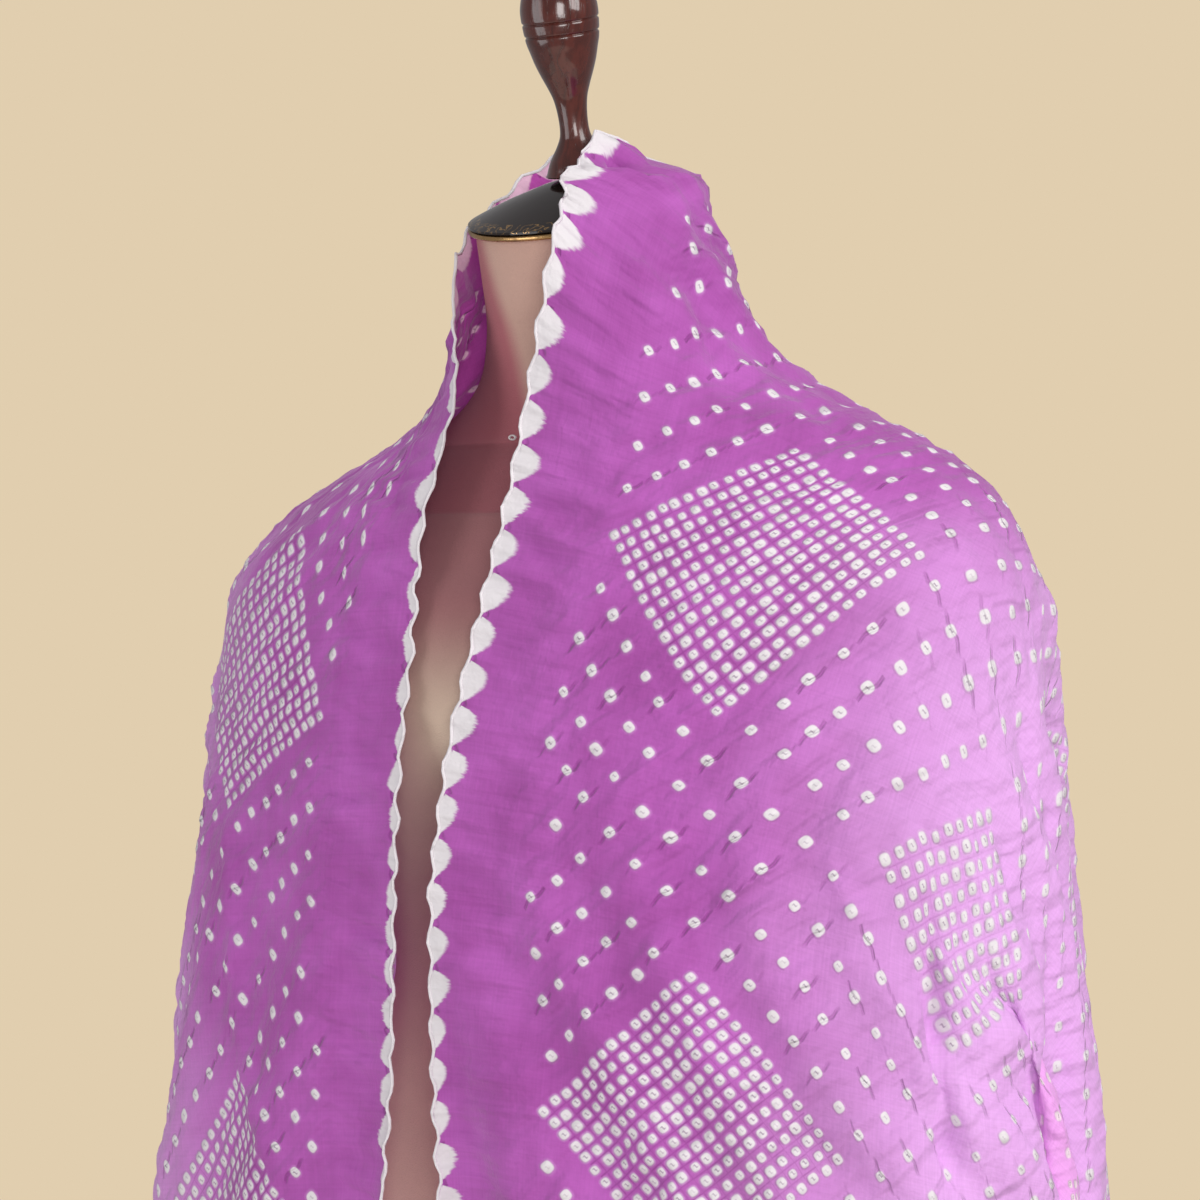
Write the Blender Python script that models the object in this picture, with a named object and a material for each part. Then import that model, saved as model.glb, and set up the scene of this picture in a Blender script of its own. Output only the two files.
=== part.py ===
"""Bandhani cloth draped over the shoulders of a dress form.

Metres, +Z up. The form faces -Y, its left shoulder is at +X, and the origin is
the centre of the stand's underside. The cloth is a rectangle whose one long
edge runs round the neck and down the front. Flat cloth coordinates are u, along
that edge from the nape (positive on the form's left), and v, away from it.
"""
import math
from collections import namedtuple

import bmesh
import bpy
import numpy as np

# ---------------------------------------------------------------- sizes

CLOTH_LENGTH = 2.20
CLOTH_WIDTH = 0.80
CLOTH_THICKNESS = 0.002
CLOTH_CELLS = (80, 30)      # along the length, across the width

GAP = 0.0003                # between pieces that touch
FORM_SIDES = 36
FORM_ROWS = 30
TURNED_SIDES = 32

BASE_RADIUS = 0.180
BASE_EDGE_HEIGHT = 0.016
BASE_BOSS_RADIUS = 0.034
BASE_HEIGHT = 0.050
POLE_RADIUS = 0.0145

CAP_SLOPE = math.radians(17)        # the neck is cut sloping down to the front
CAP_RADIUS = 0.0615
CAP_HEIGHT = 0.0175
RING_RADIUS = 0.0620
RING_HEIGHT = 0.0030
FINIAL_LEAN = math.radians(13)
FINIAL_BACK_SET = 0.001             # of the finial's foot, behind the top of the dome

# Horizontal sections. The tilt lowers the front of a section, in degrees.
Section = namedtuple("Section", "z half_width centre_y front_y back_y squareness tilt")

FORM = [
    Section(0.740, 0.165, 0.000, -0.118, 0.122, 2.3, 0),    # hip, cut off level
    Section(0.860, 0.180, 0.000, -0.122, 0.130, 2.3, 0),
    Section(0.930, 0.166, 0.000, -0.110, 0.115, 2.2, 0),
    Section(1.000, 0.132, 0.000, -0.100, 0.086, 2.1, 0),    # waist
    Section(1.080, 0.150, 0.000, -0.118, 0.096, 2.2, 0),
    Section(1.140, 0.178, 0.000, -0.138, 0.108, 2.3, 0),    # bust
    Section(1.185, 0.208, 0.000, -0.130, 0.110, 2.2, 0),
    Section(1.215, 0.214, 0.000, -0.113, 0.102, 2.0, 0),
    Section(1.240, 0.196, 0.000, -0.099, 0.090, 1.7, 0),    # end of the shoulder
    Section(1.262, 0.162, 0.000, -0.087, 0.077, 1.6, 0),
    Section(1.280, 0.126, 0.000, -0.080, 0.066, 1.5, 0),
    Section(1.297, 0.095, -0.004, -0.078, 0.056, 1.6, 0),
    Section(1.313, 0.076, -0.012, -0.078, 0.046, 1.8, 2),
    Section(1.333, 0.065, -0.021, -0.080, 0.038, 2.0, 6),   # foot of the neck
    Section(1.357, 0.060, -0.030, -0.087, 0.027, 2.0, 12),
    Section(1.3921, 0.0585, -0.040, -0.0955, 0.0155, 2.0, 17),
]

# The drape's outer line, which the cloth follows apart from its folds.
DRAPE_BODY = [
    Section(0.050, 0.330, -0.010, -0.190, 0.185, 2.2, 0),
    Section(0.600, 0.300, -0.010, -0.176, 0.166, 2.2, 0),
    Section(0.880, 0.279, -0.010, -0.167, 0.150, 2.2, 0),
    Section(1.060, 0.253, -0.010, -0.158, 0.138, 2.2, 0),
    Section(1.130, 0.246, -0.010, -0.152, 0.132, 2.2, 0),
    Section(1.190, 0.248, -0.010, -0.143, 0.126, 2.1, 0),
]
DRAPE_LEFT_COLLAR = [
    Section(1.240, 0.232, -0.010, -0.131, 0.116, 2.0, 0),
    Section(1.272, 0.192, -0.010, -0.126, 0.102, 1.8, 0),
    Section(1.295, 0.136, -0.015, -0.122, 0.084, 1.8, 0),
    Section(1.318, 0.098, -0.030, -0.118, 0.064, 1.9, 0),
    Section(1.350, 0.084, -0.040, -0.116, 0.046, 2.0, 0),
    Section(1.400, 0.075, -0.046, -0.112, 0.032, 2.0, 0),
    Section(1.460, 0.066, -0.045, -0.106, 0.020, 2.0, 0),
]
DRAPE_RIGHT_COLLAR = [          # closer to the neck, and flatter in front
    Section(1.240, 0.205, -0.010, -0.131, 0.112, 2.0, 0),
    Section(1.272, 0.142, -0.010, -0.112, 0.098, 1.7, 0),
    Section(1.295, 0.104, -0.020, -0.106, 0.082, 1.6, 0),
    Section(1.318, 0.088, -0.030, -0.105, 0.064, 1.6, 0),
    Section(1.350, 0.080, -0.040, -0.107, 0.046, 1.7, 0),
    Section(1.400, 0.073, -0.046, -0.108, 0.032, 1.9, 0),
    Section(1.460, 0.064, -0.045, -0.104, 0.020, 2.0, 0),
]

# The long edge, from the bottom of the left panel up, round the neck, and down.
EdgePoint = namedtuple("EdgePoint", "x y z")

LEFT_FRONT_EDGE = [
    EdgePoint(0.020, -0.190, 0.050),
    EdgePoint(0.020, -0.180, 0.400),
    EdgePoint(0.012, -0.172, 0.700),
    EdgePoint(0.000, -0.1655, 0.892),
    EdgePoint(-0.008, -0.162, 0.947),
    EdgePoint(-0.016, -0.158, 1.050),
    EdgePoint(-0.010, -0.151, 1.121),
    EdgePoint(0.000, -0.142, 1.177),
    EdgePoint(0.008, -0.127, 1.2425),
    EdgePoint(0.012, -0.115, 1.300),
    EdgePoint(0.024, -0.114, 1.350),
]
NECK_EDGE = [
    EdgePoint(0.030, -0.112, 1.378),
    EdgePoint(0.021, -0.090, 1.399),
    EdgePoint(0.013, -0.068, 1.414),
    EdgePoint(0.0165, -0.056, 1.434),       # stands up beside the finial
    EdgePoint(0.022, -0.028, 1.426),
    EdgePoint(0.010, 0.003, 1.421),
    EdgePoint(-0.018, 0.013, 1.430),        # nape
    EdgePoint(-0.036, 0.006, 1.436),
    EdgePoint(-0.048, -0.003, 1.428),
    EdgePoint(-0.062, -0.017, 1.411),
    EdgePoint(-0.069, -0.055, 1.386),
]
RIGHT_FRONT_EDGE = [
    EdgePoint(-0.061, -0.074, 1.3655),
    EdgePoint(-0.051, -0.088, 1.325),
    EdgePoint(-0.047, -0.0957, 1.304),
    EdgePoint(-0.040, -0.111, 1.258),
    EdgePoint(-0.035, -0.125, 1.212),
    EdgePoint(-0.033, -0.1386, 1.172),
    EdgePoint(-0.034, -0.148, 1.131),
    EdgePoint(-0.036, -0.1526, 1.090),
    EdgePoint(-0.034, -0.159, 1.015),
    EdgePoint(-0.034, -0.161, 0.952),
    EdgePoint(-0.038, -0.166, 0.886),
    EdgePoint(-0.045, -0.172, 0.700),
    EdgePoint(-0.055, -0.180, 0.400),
    EdgePoint(-0.060, -0.190, 0.050),
]

# Folds that take up the spare cloth, from the side of each panel to the back. The
# lean of the folds is how far they stand outside the drape's own line, as a part
# of their depth: inward at the side, where the form leaves room, outward behind it.
FOLDS_EACH_SIDE = 3.5
FOLDS_START = 0.84          # as a fraction of the way from the front edge to the side
FOLDS_GROW_OVER = 0.18      # of the stretch that is folded
FOLDS_FLAT_FROM = 0.72      # the folds die out before the middle of the back
FOLDS_LEAN_SIDE = -0.95
FOLDS_LEAN_BACK = 0.85
FOLDS_TURN_OUT = (0.35, 0.90)        # where the lean changes, along the folded stretch
FOLDS_DEEPEST = 0.060

NECK_FADE = 0.05            # how far the neck edge's own shape reaches into the cloth
FRONT_FADE = 0.12           # the same for the front edges
FADE_WIDENS_OVER = 0.10
COLLAR_TOP_SIDE = 1.425
COLLAR_TOP_BACK = 1.440
LONGEST_FALL = 1.45

# Distances from the cloth's middle layer to what it lies on.
FORM_CLEARANCE = 0.0055
CAP_CLEARANCE = 0.0100
FINIAL_CLEARANCE = 0.0045
RESTING_ROUNDS = 5

# Turned pieces: radius and height along their own axis.
Turn = namedtuple("Turn", "radius height")

FINIAL = [
    Turn(0.0000, 0.0000), Turn(0.0172, 0.0000), Turn(0.0180, 0.0008), Turn(0.0172, 0.0018),
    Turn(0.0147, 0.0081), Turn(0.0100, 0.0159), Turn(0.0078, 0.0216), Turn(0.0076, 0.0300),
    Turn(0.0087, 0.0389), Turn(0.0108, 0.0454), Turn(0.0134, 0.0518), Turn(0.0158, 0.0583),
    Turn(0.0176, 0.0648), Turn(0.0192, 0.0713), Turn(0.0202, 0.0830), Turn(0.0196, 0.0900),
    Turn(0.0172, 0.0970), Turn(0.0120, 0.1030), Turn(0.0000, 0.1055),
]
NECK_CAP = [
    Turn(0.0000, 0.0000), Turn(0.0605, 0.0000), Turn(CAP_RADIUS, 0.0010), Turn(0.0608, 0.0024),
    Turn(0.0560, 0.0062), Turn(0.0430, 0.0115), Turn(0.0270, 0.0155), Turn(0.0000, CAP_HEIGHT),
]
CAP_RING = [
    Turn(0.0000, 0.0000), Turn(0.0612, 0.0000), Turn(RING_RADIUS, 0.0008),
    Turn(RING_RADIUS, 0.0022), Turn(0.0612, RING_HEIGHT), Turn(0.0000, RING_HEIGHT),
]
BASE = [
    Turn(0.0000, 0.0000), Turn(0.1780, 0.0000), Turn(BASE_RADIUS, 0.0020),
    Turn(BASE_RADIUS, 0.0120), Turn(0.1740, BASE_EDGE_HEIGHT), Turn(0.1500, 0.0190),
    Turn(0.0600, 0.0240), Turn(0.0400, 0.0300), Turn(BASE_BOSS_RADIUS, 0.0400),
    Turn(0.0320, 0.0480), Turn(0.0290, BASE_HEIGHT), Turn(0.0000, BASE_HEIGHT),
]

Finish = namedtuple("Finish", "colour roughness metallic")
ORCHID_COTTON = Finish((0.42, 0.10, 0.42), 0.80, 0.0)
FORM_JERSEY = Finish((0.50, 0.33, 0.27), 0.85, 0.0)
BLACK_LACQUER = Finish((0.030, 0.024, 0.020), 0.18, 0.0)
GILT = Finish((0.36, 0.20, 0.08), 0.35, 0.6)
DARK_WOOD = Finish((0.090, 0.028, 0.018), 0.25, 0.0)

# ---------------------------------------------------------------- helpers


def clear_scene():
    for thing in list(bpy.data.objects):
        bpy.data.objects.remove(thing)


def material(name, finish):
    made = bpy.data.materials.new(name)
    made.use_nodes = True
    shader = made.node_tree.nodes["Principled BSDF"]
    shader.inputs["Base Color"].default_value = (*finish.colour, 1.0)
    shader.inputs["Roughness"].default_value = finish.roughness
    shader.inputs["Metallic"].default_value = finish.metallic
    return made


def link_mesh(name, bm, finish):
    """Turns a bmesh into a smooth-shaded object with its own material."""
    bmesh.ops.recalc_face_normals(bm, faces=bm.faces)
    mesh = bpy.data.meshes.new(name)
    bm.to_mesh(mesh)
    bm.free()
    mesh.materials.append(material(name, finish))
    mesh.shade_smooth()
    mesh.set_sharp_from_angle(angle=math.radians(40))
    thing = bpy.data.objects.new(name, mesh)
    bpy.context.scene.collection.objects.link(thing)
    return thing


def smooth_table(rows):
    """Reads a table by its first column, through a curve that never overshoots a row."""
    data = np.array(sorted(rows), float)
    key, value = data[:, 0], data[:, 1:]
    step = np.diff(key)[:, None]
    slope = np.diff(value, axis=0) / step
    tangent = np.zeros_like(value)
    tangent[0], tangent[-1] = slope[0], slope[-1]
    before, after = slope[:-1], slope[1:]
    same_way = before * after > 0
    near, far = 2 * step[1:] + step[:-1], step[1:] + 2 * step[:-1]
    safe_before, safe_after = np.where(same_way, before, 1), np.where(same_way, after, 1)
    tangent[1:-1] = np.where(same_way, (near + far) / (near / safe_before + far / safe_after), 0)

    def read(at):
        at = np.clip(np.asarray(at, float), key[0], key[-1])
        row = np.clip(np.searchsorted(key, at, side="right") - 1, 0, len(key) - 2)
        wide = (key[row + 1] - key[row])[..., None]
        t = (at - key[row])[..., None] / wide
        return (value[row] * (1 + 2 * t) * (1 - t) ** 2 + value[row + 1] * t * t * (3 - 2 * t)
                + tangent[row] * wide * t * (1 - t) ** 2 + tangent[row + 1] * wide * t * t * (t - 1))

    return read


def smooth_step(value, start, end):
    t = np.clip((value - start) / (end - start), 0, 1)
    return t * t * (3 - 2 * t)


def section_points(table, angle, z):
    """Points of a body at these heights and these angles round it, from +X towards +Y."""
    half_width, centre_y, front_y, back_y, squareness, tilt = np.moveaxis(table(z), -1, 0)
    across, along = np.cos(angle), np.sin(angle)
    reach = np.where(along < 0, centre_y - front_y, back_y - centre_y)
    x = half_width * np.sign(across) * np.abs(across) ** (2 / squareness)
    y = centre_y + reach * np.sign(along) * np.abs(along) ** (2 / squareness)
    return np.stack([x, y, z + (y - centre_y) * np.tan(np.radians(tilt))], -1)


def lengths_along(points):
    steps = np.linalg.norm(np.diff(points, axis=0), axis=1)
    return np.concatenate([[0.0], np.cumsum(steps)])


def curve_through(points, steps=12):
    """A smooth curve through the points, as a close row of points."""
    given = np.array(points, float)
    padded = np.concatenate([2 * given[:1] - given[1:2], given, 2 * given[-1:] - given[-2:-1]])
    t = np.linspace(0, 1, steps, endpoint=False)[:, None]
    parts = []
    for a, b, c, d in zip(padded, padded[1:], padded[2:], padded[3:]):
        parts.append(0.5 * (2 * b + (c - a) * t + (2 * a - 5 * b + 4 * c - d) * t ** 2
                            + (3 * b - a - 3 * c + d) * t ** 3))
    return np.concatenate(parts + [given[-1:]])


# ---------------------------------------------------------------- what the cloth lies on


def up_the_slope(distance):
    """The middle of the neck's cut end, moved by a distance square to the cut."""
    top = FORM[-1]
    return (0.0, top.centre_y - distance * math.sin(CAP_SLOPE), top.z + distance * math.cos(CAP_SLOPE))


def finial_foot():
    """Just behind the top of the dome."""
    dome = up_the_slope(RING_HEIGHT + CAP_HEIGHT + 3 * GAP)
    return (0.0, dome[1] + FINIAL_BACK_SET, dome[2] + FINIAL_BACK_SET * math.tan(CAP_SLOPE))


def clear_of_form(points):
    """Moves points straight outwards to lie off the torso and the neck."""
    table = smooth_table(FORM)
    x, y, z = np.moveaxis(points, -1, 0)
    level = z
    for _ in range(3):
        _, centre_y, _, _, _, tilt = np.moveaxis(table(level), -1, 0)
        level = z - (y - centre_y) * np.tan(np.radians(tilt))
    half_width, centre_y, front_y, back_y, squareness, _ = np.moveaxis(table(level), -1, 0)
    reach = np.where(y < centre_y, centre_y - front_y, back_y - centre_y) + FORM_CLEARANCE
    across = np.abs(x) / (half_width + FORM_CLEARANCE)
    along = np.abs(y - centre_y) / reach
    depth = np.maximum(across ** squareness + along ** squareness, 1e-4) ** (1 / squareness)
    inside = (depth < 1) & (level > FORM[0].z) & (level < FORM[-1].z)
    grow = np.where(inside, 1 / depth, 1.0)
    return np.stack([x * grow, centre_y + (y - centre_y) * grow, z], -1)


def along_axis(points, foot, lean):
    """Height up an axis that leans to the front, and the offset from it."""
    axis = np.array([0.0, -math.sin(lean), math.cos(lean)])
    height = (points - foot) @ axis
    return height, points - foot - height[..., None] * axis, axis


def clear_of_cap(points):
    """Moves points out of a dome round the neck cap."""
    foot = np.array(up_the_slope(0.0))
    height, offset, axis = along_axis(points, foot, CAP_SLOPE)
    dome_height = RING_HEIGHT + CAP_HEIGHT + CAP_CLEARANCE
    dome_radius = CAP_RADIUS + CAP_CLEARANCE
    aside = np.linalg.norm(offset, axis=-1)
    depth = np.maximum(np.hypot(aside / dome_radius, height / dome_height), 0.05)
    grow = np.where((depth < 1) & (height > 0), 1 / depth, 1.0)[..., None]
    return foot + offset * grow + height[..., None] * grow * axis


def clear_of_finial(points):
    """Moves points sideways out of the finial."""
    foot = np.array(finial_foot())
    height, offset, axis = along_axis(points, foot, FINIAL_LEAN)
    radius = np.interp(height, [turn.height for turn in FINIAL[1:]], [turn.radius for turn in FINIAL[1:]])
    aside = np.maximum(np.linalg.norm(offset, axis=-1), 1e-6)
    wanted = np.where(height > -FINIAL_CLEARANCE, radius + FINIAL_CLEARANCE, 0)
    grow = np.maximum(wanted / aside, 1)[..., None]
    return foot + offset * grow + height[..., None] * axis


def neighbour_average(field):
    padded = np.pad(field, ((1, 1), (1, 1), (0, 0)), mode="edge")
    return (padded[:-2, 1:-1] + padded[2:, 1:-1] + padded[1:-1, :-2] + padded[1:-1, 2:]) / 4


def cell_moves(points, clear):
    """What the middles of a grid's cells need, given to the corners that need it most."""
    middles = (points[:-1, :-1] + points[1:, :-1] + points[:-1, 1:] + points[1:, 1:]) / 4
    needs = clear(middles) - middles
    moves = np.zeros_like(points)
    columns, rows = points.shape[0] - 1, points.shape[1] - 1
    for i in (0, 1):
        for j in (0, 1):
            here = moves[i:i + columns, j:j + rows]
            larger = np.linalg.norm(needs, axis=-1) > np.linalg.norm(here, axis=-1)
            here[larger] = needs[larger]
    return moves


def rested(points):
    """Lays a grid of cloth points on the form, easing what is moved into the rest."""
    def clear(grid):
        return clear_of_finial(clear_of_cap(clear_of_form(grid)))

    for _ in range(RESTING_ROUNDS):
        moved = clear(points) - points
        eased = neighbour_average(neighbour_average(moved))
        eased[:, 0] = moved[:, 0]
        points = points + eased
    for _ in range(RESTING_ROUNDS):
        points = clear(points)
        points = points + cell_moves(points, clear)
    return points


# ---------------------------------------------------------------- the drape


class Drape:
    """Where each point of the flat cloth lies when it hangs from the neck and shoulders.

    The cloth is laid on the drape's sections ring by ring. A ring is the line at
    one distance r from the neck: a quarter circle on each side of the straight
    stretch behind the neck. Where a ring is longer than its section, the spare
    length goes into folds at the sides and the back.
    """

    SIDES = (1, -1)             # the form's left, its right
    RING_POINTS = 361
    STATIONS = 200
    RINGS = 146

    def __init__(self):
        self.sections = {1: smooth_table(DRAPE_BODY + DRAPE_LEFT_COLLAR),
                         -1: smooth_table(DRAPE_BODY + DRAPE_RIGHT_COLLAR)}
        self.edge = curve_through(LEFT_FRONT_EDGE + NECK_EDGE + RIGHT_FRONT_EDGE)
        self.edge_lengths = lengths_along(self.edge)
        start, end = (self.length_at(NECK_EDGE[0]), self.length_at(NECK_EDGE[-1]))
        self.nape = (start + end) / 2
        self.half_neck = (end - start) / 2
        self.grids = {side: self.ring_grid(side) for side in self.SIDES}

    def length_at(self, point):
        nearest = np.argmin(np.linalg.norm(self.edge - np.array(point), axis=1))
        return self.edge_lengths[nearest]

    def edge_points(self, u):
        """The long edge, by its own length from the nape."""
        along = self.nape - np.asarray(u, float)
        return np.stack([np.interp(along, self.edge_lengths, axis) for axis in self.edge.T], -1)

    def edge_angle(self, side, z):
        """Angle round the section where the front edge lies."""
        half_width, _, _, _, squareness, _ = np.moveaxis(self.sections[side](z), -1, 0)
        rows = LEFT_FRONT_EDGE if side > 0 else RIGHT_FRONT_EDGE[::-1]
        x = np.interp(z, [row.z for row in rows], [row.x for row in rows])
        across = np.clip(x * side / half_width, -1, 1)
        return -np.arccos(np.sign(across) * np.abs(across) ** (squareness / 2))

    def points(self, side, angle, z):
        mirrored = section_points(self.sections[side], angle, z)
        return mirrored * np.array([side, 1, 1])

    def falls(self, side):
        """Height against length of fall, down the front edge, the side and the back."""
        front_top = NECK_EDGE[0].z if side > 0 else NECK_EDGE[-1].z
        lines = []
        for top, angle in ((front_top, None), (COLLAR_TOP_SIDE, 0), (COLLAR_TOP_BACK, math.pi / 2)):
            z = np.linspace(top, 0.0, 1200)
            angles = self.edge_angle(side, z) if angle is None else np.full_like(z, angle)
            lines.append((lengths_along(self.points(side, angles, z)), z))
        return lines

    def ring(self, side, r, falls, length):
        """One ring, from the front edge to the middle of the back, folded to its length."""
        front_z, side_z, back_z = (np.interp(r, *fall) for fall in falls)
        start = float(self.edge_angle(side, np.array(front_z)))
        angle = np.linspace(start, math.pi / 2, self.RING_POINTS)
        turn = np.sin(angle) ** 2
        to_front = np.clip(turn / math.sin(start) ** 2, 0, 1)
        z = np.where(angle > 0, side_z * (1 - turn) + back_z * turn,
                     side_z * (1 - to_front) + front_z * to_front)
        line = self.points(side, angle, z)
        along = lengths_along(line)
        if along[-1] >= length:
            return line
        first = np.interp(0.0, angle, along) * FOLDS_START
        stretch = np.clip((along - first) / (along[-1] - first), 0, 1)
        weight = smooth_step(stretch, 0, FOLDS_GROW_OVER) * (1 - smooth_step(stretch, FOLDS_FLAT_FROM, 1))
        lean = FOLDS_LEAN_SIDE + (FOLDS_LEAN_BACK - FOLDS_LEAN_SIDE) * smooth_step(stretch, *FOLDS_TURN_OUT)
        wave = np.cos(2 * math.pi * FOLDS_EACH_SIDE * (1 - stretch)) + lean
        heading = np.gradient(line[:, :2], axis=0)
        outward = np.stack([heading[:, 1], -heading[:, 0]], -1) * side
        outward /= np.linalg.norm(outward, axis=1)[:, None]

        def folded(depth):
            shifted = line.copy()
            shifted[:, :2] += outward * (depth * weight * wave)[:, None]
            return shifted

        shallow, deep = 0.0, FOLDS_DEEPEST
        for _ in range(24):
            middle = (shallow + deep) / 2
            if lengths_along(folded(middle))[-1] < length:
                shallow = middle
            else:
                deep = middle
        return folded(shallow)

    def ring_grid(self, side):
        falls = self.falls(side)
        stations = np.linspace(0, 1, self.STATIONS)
        grid = []
        for r in np.linspace(0, LONGEST_FALL, self.RINGS):
            line = self.ring(side, r, falls, self.half_neck + math.pi / 2 * r)
            along = lengths_along(line)
            even = stations * along[-1]
            grid.append(np.stack([np.interp(even, along, axis) for axis in line.T], -1))
        return np.array(grid)

    def read_grid(self, side, r, station):
        row = r / LONGEST_FALL * (self.RINGS - 1)
        column = station * (self.STATIONS - 1)
        i = np.clip(row.astype(int), 0, self.RINGS - 2)
        j = np.clip(column.astype(int), 0, self.STATIONS - 2)
        a, b = (row - i)[:, None], (column - j)[:, None]
        grid = self.grids[side]
        return (grid[i, j] * (1 - a) * (1 - b) + grid[i + 1, j] * a * (1 - b)
                + grid[i, j + 1] * (1 - a) * b + grid[i + 1, j + 1] * a * b)

    def place(self, u, v):
        """Places a grid of flat cloth points; v is 0 in the first column."""
        placed = np.zeros(u.shape + (3,))
        for side in self.SIDES:
            here = (u >= 0) if side > 0 else (u < 0)
            beyond = np.abs(u[here]) - self.half_neck
            across = v[here]
            behind_neck = beyond <= 0
            r = np.where(behind_neck, across, np.hypot(beyond, across))
            fan = np.arctan2(across, np.maximum(beyond, 1e-9)) * r
            from_front = np.where(behind_neck, math.pi / 2 * r - beyond, fan)
            station = from_front / (self.half_neck + math.pi / 2 * r)
            placed[here] = self.read_grid(side, r, station)
        shift = self.edge_points(u[:, 0]) - placed[:, 0]
        past_neck = np.clip((np.abs(u[:, :1]) - self.half_neck) / FADE_WIDENS_OVER, 0, 1)
        fade = NECK_FADE + (FRONT_FADE - NECK_FADE) * past_neck
        return rested(placed + shift[:, None, :] * np.exp(-(v / fade) ** 2)[..., None])


# ---------------------------------------------------------------- pieces


def make_cloth():
    """The whole cloth as one closed sheet, its hem part of it."""
    across_u, across_v = CLOTH_CELLS
    u, v = np.meshgrid(np.linspace(-CLOTH_LENGTH / 2, CLOTH_LENGTH / 2, across_u + 1),
                       np.linspace(0, CLOTH_WIDTH, across_v + 1), indexing="ij")
    places = Drape().place(u, v)
    bm = bmesh.new()
    corners = [[bm.verts.new(point) for point in row] for row in places]
    for near_row, far_row in zip(corners, corners[1:]):
        for a, b, c, d in zip(near_row, far_row, far_row[1:], near_row[1:]):
            # the shorter diagonal keeps the folds' crests smooth
            if (a.co - c.co).length < (b.co - d.co).length:
                cell = ((a, b, c), (a, c, d))
            else:
                cell = ((a, b, d), (b, c, d))
            for triangle in cell:
                bm.faces.new(triangle)
    cloth = link_mesh("cloth", bm, ORCHID_COTTON)
    sheet = cloth.modifiers.new("thickness", "SOLIDIFY")
    sheet.thickness = CLOTH_THICKNESS
    sheet.offset = 0.0
    return cloth


def make_form():
    """Padded torso with its neck, a closed loft through the form's sections."""
    table = smooth_table(FORM)
    angles = np.arange(FORM_SIDES) * 2 * math.pi / FORM_SIDES
    heights = np.linspace(FORM[0].z, FORM[-1].z, FORM_ROWS)
    bm = bmesh.new()
    loops = []
    for z in heights:
        points = section_points(table, angles, np.full(FORM_SIDES, z))
        loops.append([bm.verts.new(point) for point in points])
    for low, high in zip(loops, loops[1:]):
        for i in range(FORM_SIDES):
            j = (i + 1) % FORM_SIDES
            bm.faces.new((low[i], low[j], high[j], high[i]))
    bm.faces.new(loops[0][::-1])
    bm.faces.new(loops[-1])
    return link_mesh("torso", bm, FORM_JERSEY)


def make_turned(name, profile, finish, foot, lean=0.0):
    """Spins a profile round its own axis, which leans to the front from its foot."""
    bm = bmesh.new()
    line = [bm.verts.new((turn.radius, 0, turn.height)) for turn in profile]
    edges = [bm.edges.new(pair) for pair in zip(line, line[1:])]
    bmesh.ops.spin(bm, geom=line + edges, axis=(0, 0, 1), cent=(0, 0, 0),
                   angle=2 * math.pi, steps=TURNED_SIDES, use_merge=True)
    bmesh.ops.remove_doubles(bm, verts=bm.verts, dist=0.00005)
    piece = link_mesh(name, bm, finish)
    piece.location = foot
    piece.rotation_euler = (lean, 0, 0)
    return piece


def make_neck_fittings():
    make_turned("cap_ring", CAP_RING, GILT, up_the_slope(GAP), CAP_SLOPE)
    make_turned("neck_cap", NECK_CAP, BLACK_LACQUER, up_the_slope(RING_HEIGHT + 2 * GAP), CAP_SLOPE)
    make_turned("finial", FINIAL, DARK_WOOD, finial_foot(), FINIAL_LEAN)


def make_stand():
    pole_foot, pole_top = BASE_HEIGHT + GAP, FORM[0].z - GAP
    pole = [Turn(0, 0), Turn(POLE_RADIUS, 0), Turn(POLE_RADIUS, pole_top - pole_foot),
            Turn(0, pole_top - pole_foot)]
    make_turned("pole", pole, DARK_WOOD, (0, 0, pole_foot))
    make_turned("base", BASE, DARK_WOOD, (0, 0, 0))


clear_scene()
make_stand()
make_form()
make_neck_fittings()
make_cloth()
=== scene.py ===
"""Bandhani cloth draped over the shoulders of a dress form.

Metres, +Z up; the form faces -Y and its left shoulder is at +X. Flat cloth
coordinates are u, along the long edge that runs round the neck (from the nape,
positive on the form's left), and v, away from that edge.
"""
import math
from collections import namedtuple

import bpy
import numpy as np
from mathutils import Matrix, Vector


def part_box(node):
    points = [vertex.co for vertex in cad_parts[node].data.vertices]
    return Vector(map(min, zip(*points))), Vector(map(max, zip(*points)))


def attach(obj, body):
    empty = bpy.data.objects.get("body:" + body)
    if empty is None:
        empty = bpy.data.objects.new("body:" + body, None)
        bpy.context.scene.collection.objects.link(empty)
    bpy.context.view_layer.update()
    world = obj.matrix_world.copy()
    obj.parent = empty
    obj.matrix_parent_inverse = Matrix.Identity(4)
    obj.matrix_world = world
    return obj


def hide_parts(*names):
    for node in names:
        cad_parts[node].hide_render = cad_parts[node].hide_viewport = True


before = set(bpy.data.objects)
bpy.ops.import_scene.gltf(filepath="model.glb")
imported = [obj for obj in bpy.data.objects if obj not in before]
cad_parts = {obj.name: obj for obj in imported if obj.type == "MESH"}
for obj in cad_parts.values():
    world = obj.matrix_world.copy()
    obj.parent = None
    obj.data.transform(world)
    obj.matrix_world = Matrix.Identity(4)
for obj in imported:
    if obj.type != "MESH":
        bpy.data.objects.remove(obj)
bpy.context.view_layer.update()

bl_info = {
    "name": "Bandhani Cloth on a Dress Form",
    "version": (1, 0, 0),
    "blender": (4, 5, 0),
    "location": "View3D > Sidebar > Bandhani",
    "description": "A tie-dyed cloth draped on a dress form, with its stand and studio",
    "category": "Object",
}

# ---------------------------------------------------------------- sizes from the frame

POLE_LOW, POLE_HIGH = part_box("pole")
BASE_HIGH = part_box("base")[1]

# ---------------------------------------------------------------- the form and the drape

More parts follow.
